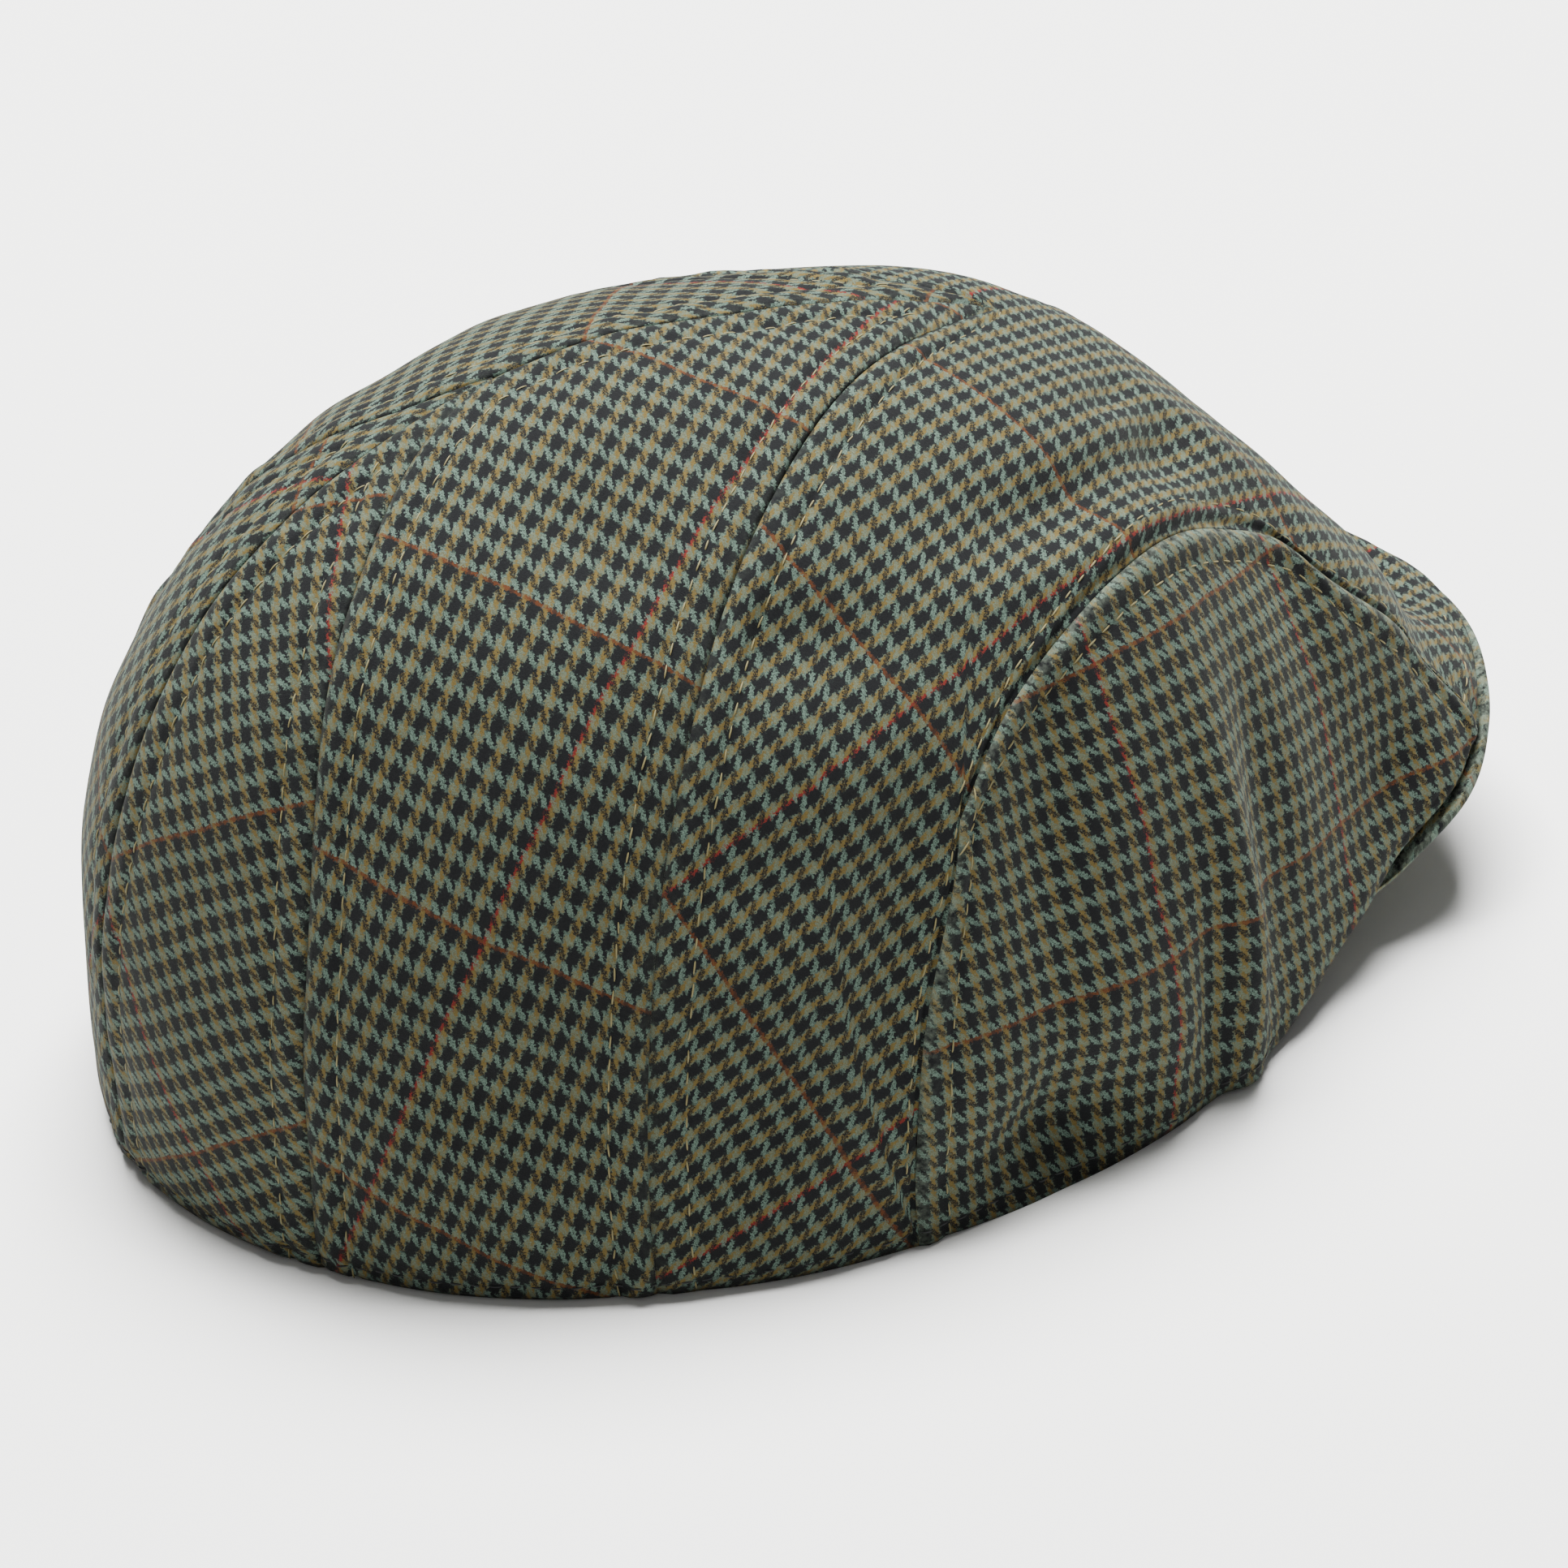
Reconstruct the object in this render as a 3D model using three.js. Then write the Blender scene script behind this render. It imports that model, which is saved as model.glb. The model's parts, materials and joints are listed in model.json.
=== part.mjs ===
// A flat cap (duckbill style) of napped check tweed, at its real size in millimetres.
// +Z is up, +Y is the back of the head and the peak points along -Y. The cap stands on its rim at z = 0.
//
// The crown is one surface around a seam point on top. Each meridian runs from the crown's lower edge
// (climb 0) to that point (climb 1), and its angle is counted from the centre back, towards the wearer's
// right. Seams are curves on this surface, and each panel between them is a cloth wall of its own.
import * as THREE from "three";
import { mergeVertices } from "three/addons/utils/BufferGeometryUtils.js";

const CLOTH = 2.0; // wall of a panel: tweed and its backing
// The turned-in edge along the rim adds to the wall, and the edge that is pressed over the board takes
// from it, with a change between two angles.
const HEM = { depth: 11, extra: 1.2, pressed: -0.8, from: 120, to: 145 };
const SEAM_GAP = 0.3; // clear space between neighbouring pieces
const MAX_PULL = 0.4; // the most of a step that a border point is drawn in, where a panel is narrow
const APEX = { y: -42.2, z: 108.5, pitch: 21.5 }; // where the seams meet, and the slope there, degrees
const ROWS = 20; // steps of climb from the edge to the seam point
const GORE_TOP = 0.995; // the side gores stop just short of the seam point

// The crown's lower edge: distance from the seam point's axis and height, at each angle.
const EDGE = [
  { angle: 0, radius: 163.3, height: 0 },
  { angle: 20, radius: 150.8, height: 0 },
  { angle: 40, radius: 125.6, height: 0 },
  { angle: 60, radius: 99.8, height: 0 },
  { angle: 80, radius: 80.4, height: 0.3 },
  { angle: 100, radius: 69.4, height: 2.6 },
  { angle: 115, radius: 64.9, height: 8.4 },
  { angle: 130, radius: 66.2, height: 16 },
  { angle: 141, radius: 74, height: 23.8 },
  { angle: 152, radius: 77, height: 29.3 },
  { angle: 160, radius: 78.2, height: 32.6 },
  { angle: 168, radius: 79.4, height: 34.3 },
  { angle: 180, radius: 80.2, height: 34.9 },
];

// How a meridian leaves the edge (length and lean outwards, degrees) and reaches the seam point (length).
const BODY = [
  { angle: 0, rise: 95.6, lean: 7.4, reach: 116.4 },
  { angle: 45, rise: 54.1, lean: 3.6, reach: 84 },
  { angle: 90, rise: 74, lean: 2, reach: 48.9 },
  { angle: 130, rise: 49.3, lean: -8.9, reach: 36.7 },
  { angle: 155, rise: 34.5, lean: -32.7, reach: 31 },
  { angle: 180, rise: 30.6, lean: -65.7, reach: 42 },
];

// The angles of the rear and the side seam on the way up. The rear seam ends on the centre seam.
const SEAMS = [
  { climb: 0, rear: 16, side: 35.8 },
  { climb: 0.25, rear: 15.7, side: 35.4 },
  { climb: 0.5, rear: 9.4, side: 34 },
  { climb: 0.65, rear: 1.9, side: 32.6 },
  { climb: 0.7, rear: 0, side: 32.1 },
  { climb: 1, rear: 0, side: 28.2 },
];
const REAR_GORE = { steps: 14, top: 0.68 }; // its steps of climb, and where its blunt tip ends

// The temple seam: up from the rim to its knee, then forwards over the temple and down the side of the
// duckbill to the crown's edge. A share counts along its upper part, from 0 at the knee to 1 at the toe.
const TEMPLE_SIDE = [
  { climb: 0, angle: 52.7 },
  { climb: 0.2, angle: 53.6 },
  { climb: 0.4, angle: 56.4 },
];
const TEMPLE_TOP = [
  { share: 0, angle: 56.4, climb: 0.4 },
  { share: 0.13, angle: 62, climb: 0.49 },
  { share: 0.28, angle: 75, climb: 0.555 },
  { share: 0.43, angle: 97, climb: 0.56 },
  { share: 0.55, angle: 117.5, climb: 0.515 },
  { share: 0.62, angle: 128.5, climb: 0.465 },
  { share: 0.7, angle: 135, climb: 0.368 },
  { share: 0.77, angle: 140, climb: 0.293 },
  { share: 0.84, angle: 144.5, climb: 0.218 },
  { share: 0.91, angle: 147.5, climb: 0.127 },
  { share: 1, angle: 149, climb: 0.015 },
];
const KNEE = TEMPLE_TOP[0];
const TOE = TEMPLE_TOP[TEMPLE_TOP.length - 1];
const BORDER = { rim: 2, side: 8, top: 18, front: 6 }; // steps of the front panel's border, half of it

// Where the front panel's columns arrive at the seam point: the angle for a step of its border.
const FAN = [
  { step: 0, angle: 28.2 },
  { step: 2, angle: 33 },
  { step: 10, angle: 58 },
  { step: 28, angle: 150 },
  { step: 34, angle: 180 },
];

// Dents (negative) and ridges (positive) in the cloth: middle, half sizes, depth in mm, tilt in degrees.
const FOLDS = [
  { angle: 76, climb: 0.68, wide: 20, high: 0.05, depth: -2.6, tilt: 0 }, // valley over the temple
  { angle: 114, climb: 0.66, wide: 18, high: 0.06, depth: -3.2, tilt: -20 }, // its deeper end at the brow
  { angle: 88, climb: 0.6, wide: 32, high: 0.03, depth: 1.2, tilt: 0 }, // ridge between it and the seam
  { angle: 40, climb: 0.58, wide: 8, high: 0.045, depth: -1.6, tilt: 0 }, // band across the front panel
  { angle: 48, climb: 0.48, wide: 7, high: 0.06, depth: 1.4, tilt: 0 }, // swell below it
  { angle: 41, climb: 0.36, wide: 4, high: 0.05, depth: -1.3, tilt: 0 }, // second band
  { angle: 51, climb: 0.24, wide: 3, high: 0.16, depth: -1.4, tilt: 0 }, // valley behind the temple seam
  { angle: 42, climb: 0.14, wide: 4, high: 0.07, depth: -1.5, tilt: 0 }, // pucker near the rim
  { angle: 66, climb: 0.33, wide: 5, high: 0.17, depth: -3, tilt: 0 }, // hollow of the temple
  { angle: 65, climb: 0.12, wide: 4, high: 0.07, depth: -2.4, tilt: 0 }, // crease below it
  { angle: 78, climb: 0.1, wide: 5, high: 0.05, depth: 1.8, tilt: 0 }, // swell in front of the crease
  { angle: 89, climb: 0.18, wide: 4, high: 0.15, depth: 2.4, tilt: 0 }, // upright fold
  { angle: 100, climb: 0.2, wide: 6, high: 0.16, depth: -3, tilt: 0 }, // hollow in front of it
  { angle: 131, climb: 0.33, wide: 6, high: 0.13, depth: 2.2, tilt: 0 }, // roll over the peak's side
  { angle: 134, climb: 0.1, wide: 6, high: 0.05, depth: -1.8, tilt: 0 }, // dip below it
  { angle: 22, climb: 0.61, wide: 7, high: 0.05, depth: -1.3, tilt: 0 }, // dent high in the side gore
  { angle: 24, climb: 0.27, wide: 6, high: 0.06, depth: 1.1, tilt: 0 }, // swell in its middle
  { angle: 28, climb: 0.17, wide: 5, high: 0.06, depth: -1.5, tilt: 0 }, // dent under it
  { angle: 13, climb: 0.8, wide: 9, high: 0.05, depth: -1, tilt: 0 }, // shallow dent on top
  { angle: 180, climb: 0.16, wide: 29, high: 0.071, depth: -4.9, tilt: 0 }, // valley behind the duckbill
];

// The peak's board lies under the front panel, from behind the crown's edge to a lip beyond it.
const PEAK_ROWS = [
  { angle: 112, behind: 8, beyond: -3.4 },
  { angle: 122, behind: 13, beyond: -3 },
  { angle: 127, behind: 15.5, beyond: -1.4 },
  { angle: 131, behind: 17.5, beyond: 0.5 },
  { angle: 141, behind: 23, beyond: 1.3 },
  { angle: 152, behind: 27, beyond: 1.4 },
  { angle: 160, behind: 31, beyond: 1.2 },
  { angle: 168, behind: 35, beyond: 0.8 },
  { angle: 180, behind: 38, beyond: 0.6 },
];

// The board: its first angle, thickness, clearance under the crown's edge, how far behind the edge it
// stays level, and its slope from there back to the forehead.
const PEAK = { first: 112, board: 3.2, below: 0.45, flat: 6, rise: 0.12, columns: 36, rows: 8 };

const TWEED = { color: 0x5e6052, roughness: 0.95, metalness: 0 };
const RADIANS = Math.PI / 180;
const STEP = { angle: 0.5, climb: 0.004 }; // the differences that the normals are taken from

// A smooth value between rows, by cubic pieces whose slope at a row follows its two neighbours.
function between(rows, key, column, at) {
  const last = rows.length - 1;
  const x = Math.min(Math.max(at, rows[0][key]), rows[last][key]);
  let i = 0;
  while (i < last - 1 && x > rows[i + 1][key]) i += 1;
  const slope = (k) => {
    if (k === 0 || k === last) return 0;
    const run = rows[k + 1][key] - rows[k - 1][key];
    return (rows[k + 1][column] - rows[k - 1][column]) / run;
  };
  const span = rows[i + 1][key] - rows[i][key];
  const s = (x - rows[i][key]) / span;
  const rise = rows[i + 1][column] - rows[i][column];
  const a = slope(i) * span - rise;
  const b = rise - slope(i + 1) * span;
  return rows[i][column] + s * rise + s * (1 - s) * ((1 - s) * a + s * b);
}

// The same angle on the wearer's right, where the tables are read, from 0 to 180.
const folded = (angle) => Math.abs(((((angle + 180) % 360) + 360) % 360) - 180);

// A horizontal unit vector away from the seam point's axis.
function outward(angle) {
  return new THREE.Vector3(-Math.sin(angle * RADIANS), Math.cos(angle * RADIANS), 0);
}

// The crown's lower edge, nowhere below the surface that the cap stands on.
function edgePoint(angle) {
  const at = folded(angle);
  const height = Math.max(between(EDGE, "angle", "height", at), 0);
  const point = outward(angle).multiplyScalar(between(EDGE, "angle", "radius", at));
  return point.add(new THREE.Vector3(0, APEX.y, height));
}

// The crown without its folds: a cubic curve from the edge to the seam point.
function smoothPoint(angle, climb) {
  const at = folded(angle);
  const lean = between(BODY, "angle", "lean", at) * RADIANS;
  const rise = between(BODY, "angle", "rise", at);
  const reach = between(BODY, "angle", "reach", at);
  const out = outward(angle);
  const foot = edgePoint(angle);
  const top = new THREE.Vector3(0, APEX.y, APEX.z);
  const start = foot.clone().addScaledVector(out, rise * Math.sin(lean));
  start.z += rise * Math.cos(lean);
  const end = top.clone().addScaledVector(new THREE.Vector3(out.x, 0, 0), reach);
  end.y += out.y * reach * Math.cos(APEX.pitch * RADIANS);
  end.z += out.y * reach * Math.sin(APEX.pitch * RADIANS);
  return new THREE.CubicBezierCurve3(foot, start, end, top).getPoint(climb);
}

// The unit normal of the smooth crown, pointing out. At the seam point it is that of the plane there.
function crownNormal(angle, climb) {
  const pitch = APEX.pitch * RADIANS;
  if (climb > 1 - STEP.climb) return new THREE.Vector3(0, -Math.sin(pitch), Math.cos(pitch));
  const low = Math.max(climb - STEP.climb, 0);
  const round = smoothPoint(angle + STEP.angle, climb).sub(smoothPoint(angle - STEP.angle, climb));
  return round.cross(smoothPoint(angle, climb + STEP.climb).sub(smoothPoint(angle, low))).normalize();
}

// How far the folds lift the cloth at a place.
function foldHeight(angle, climb) {
  const at = folded(angle);
  return FOLDS.reduce((sum, fold) => {
    const tilt = fold.tilt * RADIANS;
    const x = (at - fold.angle) / fold.wide;
    const y = (climb - fold.climb) / fold.high;
    const along = x * Math.cos(tilt) + y * Math.sin(tilt);
    const across = y * Math.cos(tilt) - x * Math.sin(tilt);
    return sum + fold.depth * Math.exp(-along * along - across * across);
  }, 0);
}

// The cloth's outer face or its inner one, where the turned hem is thicker. The rim is cut level.
function crownPoint(angle, climb, inner) {
  const point = smoothPoint(angle, climb);
  const level = Math.min(climb * ROWS, 1);
  const normal = outward(angle).lerp(crownNormal(angle, climb), level).normalize();
  const over = THREE.MathUtils.clamp((folded(angle) - HEM.from) / (HEM.to - HEM.from), 0, 1);
  const change = THREE.MathUtils.lerp(HEM.extra, HEM.pressed, over);
  const hem = inner && point.distanceTo(edgePoint(angle)) < HEM.depth ? change : 0;
  return point.addScaledVector(normal, foldHeight(angle, climb) - (inner ? CLOTH + hem : 0));
}

// A closed wall from two faces of columns x rows points each, given as functions of (column, row).
// Each square is split along its shorter diagonal, so that walls side by side are split alike.
function wallGeometry(columns, rows, outer, inner) {
  const points = [];
  const faces = [];
  const grid = (face) =>
    Array.from({ length: columns + 1 }, (_, c) =>
      Array.from({ length: rows + 1 }, (_, r) => points.push(face(c / columns, r / rows)) - 1),
    );
  const quad = (a, b, c, d) => {
    const first = points[a].distanceTo(points[c]);
    const second = points[b].distanceTo(points[d]);
    faces.push(...(first < second ? [a, c, b, a, d, c] : [b, d, c, b, a, d]));
  };
  const front = grid(outer);
  const back = grid(inner);
  for (let c = 0; c < columns; c += 1) {
    for (let r = 0; r < rows; r += 1) {
      quad(front[c][r], front[c][r + 1], front[c + 1][r + 1], front[c + 1][r]);
      quad(back[c][r], back[c + 1][r], back[c + 1][r + 1], back[c][r + 1]);
    }
    quad(front[c][0], front[c + 1][0], back[c + 1][0], back[c][0]);
    quad(front[c][rows], back[c][rows], back[c + 1][rows], front[c + 1][rows]);
  }
  for (let r = 0; r < rows; r += 1) {
    quad(front[0][r], back[0][r], back[0][r + 1], front[0][r + 1]);
    quad(front[columns][r], front[columns][r + 1], back[columns][r + 1], back[columns][r]);
  }
  return closedGeometry(points, faces);
}

// Joins points that meet and drops the faces that this leaves without area.
function closedGeometry(points, faces) {
  const loose = new THREE.BufferGeometry().setFromPoints(points);
  loose.setIndex(faces);
  const merged = mergeVertices(loose, 1e-3);
  const kept = [];
  for (let i = 0; i < merged.index.count; i += 3) {
    const [a, b, c] = [0, 1, 2].map((k) => merged.index.getX(i + k));
    if (a !== b && b !== c && c !== a) kept.push(a, b, c);
  }
  merged.setIndex(kept);
  merged.computeVertexNormals();
  return merged;
}

// A panel's places on the crown, drawn in square to its border by half the gap where it meets a seam.
function panelGeometry(columns, rows, place, seamed) {
  const clamp = (x) => Math.min(Math.max(x, 0), 1);
  const face = (inner) => (u, v) => {
    const at = (du, dv) => {
      const there = place(clamp(u + du / columns), clamp(v + dv / rows));
      return crownPoint(there.angle, there.climb, inner);
    };
    const point = at(0, 0);
    const shift = new THREE.Vector3();
    const pull = (du, dv) => {
      const along = at(dv, du).sub(at(-dv, -du)).normalize();
      const inwards = at(du, dv).sub(point);
      inwards.addScaledVector(along, -inwards.dot(along));
      shift.add(inwards.setLength(Math.min(SEAM_GAP / 2, inwards.length() * MAX_PULL)));
    };
    if (u === 0 && seamed.left) pull(1, 0);
    if (u === 1 && seamed.right) pull(-1, 0);
    if (v === 1 && seamed.top) pull(0, -1);
    if (v === 0 && seamed.foot(u)) pull(0, 1);
    if (place(u, v).climb === 0) shift.setZ(0); // the rim stays level
    return point.add(shift);
  };
  return wallGeometry(columns, rows, face(false), face(true));
}

// A gore between the centre back and the rear seam, ending in a blunt tip.
function rearGore(side) {
  const place = (u, v) => {
    const climb = Math.min((v * REAR_GORE.steps) / ROWS, REAR_GORE.top);
    return { angle: side * u * between(SEAMS, "climb", "rear", climb), climb };
  };
  const seamed = { left: true, right: true, top: true, foot: () => false };
  return panelGeometry(5, REAR_GORE.steps, mirrored(place, side), seamed);
}

// A gore between the rear seam, the centre seam above it, and the seam of the front panel.
function sideGore(side) {
  const place = (u, v) => {
    const climb = Math.min(v, GORE_TOP);
    const rear = Math.max(between(SEAMS, "climb", "rear", climb), 0);
    const front = between(SEAMS, "climb", "side", climb);
    return { angle: side * (rear + u * (front - rear)), climb };
  };
  const seamed = { left: true, right: true, top: false, foot: () => false };
  return panelGeometry(8, ROWS, mirrored(place, side), seamed);
}

// Turns the columns round on the wearer's left, so that every wall's faces point out.
function mirrored(place, side) {
  return side > 0 ? place : (u, v) => place(1 - u, v);
}

// A place on the upper part of the temple seam.
function templeTop(share) {
  const row = (column) => between(TEMPLE_TOP, "share", column, share);
  return { angle: row("angle"), climb: row("climb") };
}

// The front panel's border on the right, by steps: the rim, the temple seam and the front edge.
function frontBorder(step) {
  const knee = BORDER.rim + BORDER.side;
  const toe = knee + BORDER.top;
  if (step <= BORDER.rim) {
    const start = SEAMS[0].side;
    return { angle: start + (step / BORDER.rim) * (TEMPLE_SIDE[0].angle - start), climb: 0 };
  }
  if (step <= knee) {
    const climb = ((step - BORDER.rim) / BORDER.side) * KNEE.climb;
    return { angle: between(TEMPLE_SIDE, "climb", "angle", climb), climb };
  }
  if (step <= toe) {
    return templeTop((step - knee) / BORDER.top);
  }
  return { angle: TOE.angle + ((step - toe) / BORDER.front) * (180 - TOE.angle), climb: 0 };
}

// The front panel: a fan round the seam point, from the seam on one side to that on the other.
function frontPanel() {
  const half = BORDER.rim + BORDER.side + BORDER.top + BORDER.front;
  const stepAt = (u) => half - Math.abs(half - Math.round(2 * half * u));
  const bend = SEAMS[0].side - SEAMS[SEAMS.length - 1].side;
  const place = (u, v) => {
    const low = frontBorder(stepAt(u));
    const climb = low.climb + v * (1 - low.climb);
    const turned = (SEAMS[0].side - between(SEAMS, "climb", "side", climb)) / bend;
    const share = v + Math.max(1 - stepAt(u) / BORDER.rim, 0) * (turned - v);
    const angle = low.angle + share * (between(FAN, "step", "angle", stepAt(u)) - low.angle);
    return { angle: u <= 0.5 ? angle : 360 - angle, climb };
  };
  const seamed = { left: true, right: true, top: false, foot: (u) => frontBorder(stepAt(u)).climb > 0 };
  return panelGeometry(2 * half, ROWS, place, seamed);
}

// The temple panel, between the temple seam and the crown's lower edge.
function templePanel(side) {
  const start = TEMPLE_SIDE[0].angle;
  const place = (u, v) => {
    const top = templeTop(u);
    const footAngle = start + u * (TOE.angle - start);
    const seam = between(TEMPLE_SIDE, "climb", "angle", v * KNEE.climb);
    const bow = (1 - u) * (seam - start - v * (KNEE.angle - start));
    return { angle: side * (footAngle + v * (top.angle - footAngle) + bow), climb: v * top.climb };
  };
  const seamed = { left: true, right: true, top: true, foot: () => false };
  return panelGeometry(BORDER.top, BORDER.side, mirrored(place, side), seamed);
}

// The board of the peak in its cloth: a curved plate under the crown's front edge.
function peakPlate() {
  const turn = 360 - 2 * PEAK.first;
  const face = (under) => (u, v) => {
    const angle = PEAK.first + turn * u;
    const row = (column) => between(PEAK_ROWS, "angle", column, folded(angle));
    const reach = row("beyond") - v * (row("beyond") + row("behind"));
    const fall = PEAK.rise * Math.min(reach + PEAK.flat, 0);
    const point = edgePoint(angle).addScaledVector(outward(angle), reach);
    return point.setZ(point.z - PEAK.below - fall - (under ? PEAK.board : 0));
  };
  return wallGeometry(PEAK.columns, PEAK.rows, face(false), face(true));
}

function piece(name, geometry) {
  const mesh = new THREE.Mesh(geometry, new THREE.MeshStandardMaterial(TWEED));
  mesh.name = name;
  return mesh;
}

const cap = new THREE.Group();
cap.name = "flat_cap";
cap.add(piece("front_panel", frontPanel()), piece("peak", peakPlate()));
for (const [word, side] of [["right", 1], ["left", -1]]) {
  cap.add(piece(`rear_gore_${word}`, rearGore(side)));
  cap.add(piece(`side_gore_${word}`, sideGore(side)));
  cap.add(piece(`temple_panel_${word}`, templePanel(side)));
}

export default cap;
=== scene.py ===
"""A duckbill flat cap of napped houndstooth tweed, resting on a table.

Lengths in the tables are millimetres and angles are degrees. Angles run round the cap from the centre
back (0) over the wearer's right (90) to the centre front (180). A climb runs up the cloth, from the
crown's lower edge (0) to the seam point on top (1).
"""

import json
import logging
import math
from dataclasses import dataclass, field
from enum import Enum

import bpy
import numpy as np
from mathutils import Matrix, Vector

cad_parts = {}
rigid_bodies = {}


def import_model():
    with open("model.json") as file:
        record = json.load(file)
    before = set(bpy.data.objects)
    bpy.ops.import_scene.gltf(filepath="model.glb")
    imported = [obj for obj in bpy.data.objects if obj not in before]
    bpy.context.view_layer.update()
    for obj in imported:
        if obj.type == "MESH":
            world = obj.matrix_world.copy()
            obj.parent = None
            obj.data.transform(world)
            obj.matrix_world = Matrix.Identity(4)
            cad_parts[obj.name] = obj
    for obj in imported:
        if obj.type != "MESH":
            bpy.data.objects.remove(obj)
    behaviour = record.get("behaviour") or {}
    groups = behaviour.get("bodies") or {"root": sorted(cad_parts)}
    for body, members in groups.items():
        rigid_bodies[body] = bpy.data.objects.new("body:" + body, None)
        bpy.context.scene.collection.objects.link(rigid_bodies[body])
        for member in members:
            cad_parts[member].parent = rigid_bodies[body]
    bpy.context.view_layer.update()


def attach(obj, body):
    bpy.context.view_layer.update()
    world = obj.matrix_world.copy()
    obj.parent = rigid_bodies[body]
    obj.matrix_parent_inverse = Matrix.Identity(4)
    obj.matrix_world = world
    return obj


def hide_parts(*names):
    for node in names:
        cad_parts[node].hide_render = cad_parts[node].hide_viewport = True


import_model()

logging.basicConfig(level=logging.INFO, format="%(message)s")
LOG = logging.getLogger("flat_cap")

MM = 0.001
UV_MM = 100.0  # one UV unit is this many millimetres of cloth
MERGE_M = 0.00001  # points closer than this many metres are one point
TINY = 1e-12  # keeps a length of zero from being divided by
Array = np.ndarray


# ---------------------------------------------------------------- the crown's shape


@dataclass(frozen=True)
class EdgeRow:
    """The crown's lower edge at an angle: its distance from the seam point's axis, and its height."""

    angle: float
    radius: float
    height: float


@dataclass(frozen=True)
class BodyRow:
    """How a meridian leaves the edge (length, outward lean) and reaches the seam point (length)."""

    angle: float
    rise: float
    lean: float
    reach: float


@dataclass(frozen=True)
class SeamRow:
    """The angles of the rear and the side seam at a climb."""

    climb: float
    rear: float
    side: float


@dataclass(frozen=True)
class TempleRow:
    """A place on the temple seam, and its share of the seam's upper part, from the knee to the toe."""

    angle: float
    climb: float
    share: float = 0.0


@dataclass(frozen=True)
class Fold:
    """A dent (negative depth) or ridge of the cloth: its middle, half sizes, depth and tilt."""

    angle: float
    climb: float
    wide: float
    high: float
    depth: float
    tilt: float = 0.0


EDGE = [
    EdgeRow(0, 163.3, 0),
    EdgeRow(20, 150.8, 0),
    EdgeRow(40, 125.6, 0),
    EdgeRow(60, 99.8, 0),
    EdgeRow(80, 80.4, 0.3),
    EdgeRow(100, 69.4, 2.6),
    EdgeRow(115, 64.9, 8.4),
    EdgeRow(130, 66.2, 16),
    EdgeRow(141, 74, 23.8),
    EdgeRow(152, 77, 29.3),
    EdgeRow(160, 78.2, 32.6),
    EdgeRow(168, 79.4, 34.3),
    EdgeRow(180, 80.2, 34.9),
]

BODY = [
    BodyRow(0, 95.6, 7.4, 116.4),
    BodyRow(45, 54.1, 3.6, 84),
    BodyRow(90, 74, 2, 48.9),
    BodyRow(130, 49.3, -8.9, 36.7),
    BodyRow(155, 34.5, -32.7, 31),
    BodyRow(180, 30.6, -65.7, 42),
]

SEAMS = [
    SeamRow(0, 16, 35.8),
    SeamRow(0.25, 15.7, 35.4),
    SeamRow(0.5, 9.4, 34),
    SeamRow(0.65, 1.9, 32.6),
    SeamRow(0.7, 0, 32.1),
    SeamRow(1, 0, 28.2),
]

TEMPLE_SIDE = [TempleRow(52.7, 0), TempleRow(53.6, 0.2), TempleRow(56.4, 0.4)]
TEMPLE_TOP = [
    TempleRow(56.4, 0.4, 0),
    TempleRow(62, 0.49, 0.13),
    TempleRow(75, 0.555, 0.28),
    TempleRow(97, 0.56, 0.43),
    TempleRow(117.5, 0.515, 0.55),
    TempleRow(128.5, 0.465, 0.62),
    TempleRow(135, 0.368, 0.7),
    TempleRow(140, 0.293, 0.77),
    TempleRow(144.5, 0.218, 0.84),
    TempleRow(147.5, 0.127, 0.91),
    TempleRow(149, 0.015, 1),
]

FOLDS = [
    Fold(76, 0.68, 20, 0.05, -3.4),
    Fold(114, 0.66, 18, 0.06, -4, -20),
    Fold(88, 0.6, 32, 0.03, 1.2),
    Fold(40, 0.58, 8, 0.045, -2.2),
    Fold(48, 0.48, 7, 0.06, 1.8),
    Fold(41, 0.36, 4, 0.05, -1.3),
    Fold(51, 0.24, 3, 0.16, -2),
    Fold(42, 0.14, 4, 0.06, -2),
    Fold(66, 0.33, 5, 0.17, -3.8),
    Fold(65, 0.12, 4, 0.07, -2.4),
    Fold(78, 0.1, 5, 0.05, 1.8),
    Fold(89, 0.18, 4, 0.15, 3),
    Fold(100, 0.2, 6, 0.16, -3.7),
    Fold(131, 0.33, 6, 0.13, 2.2),
    Fold(134, 0.1, 6, 0.05, -1.8),
    Fold(22, 0.61, 7, 0.045, -1.5),
    Fold(24, 0.27, 6, 0.06, 1.5),
    Fold(28, 0.17, 5, 0.06, -2),
    Fold(13, 0.8, 9, 0.045, -0.5),
    Fold(180, 0.16, 29, 0.071, -4.9),
    Fold(85, 0.09, 3, 0.09, -2.4),
    Fold(91, 0.1, 3, 0.11, 2),
    Fold(66, 0.055, 8, 0.045, -5.2),
    Fold(69, 0.165, 9, 0.045, 2.2),
    Fold(124, 0.03, 8, 0.03, 1.3),
    Fold(53, 0.33, 2.6, 0.1, -1.2),
    Fold(37, 0.52, 2.6, 0.05, -1.1, 35),
    Fold(40, 0.34, 3, 0.04, 0.9, 35),
    Fold(110, 0.78, 22, 0.03, -1.8),
]


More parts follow.
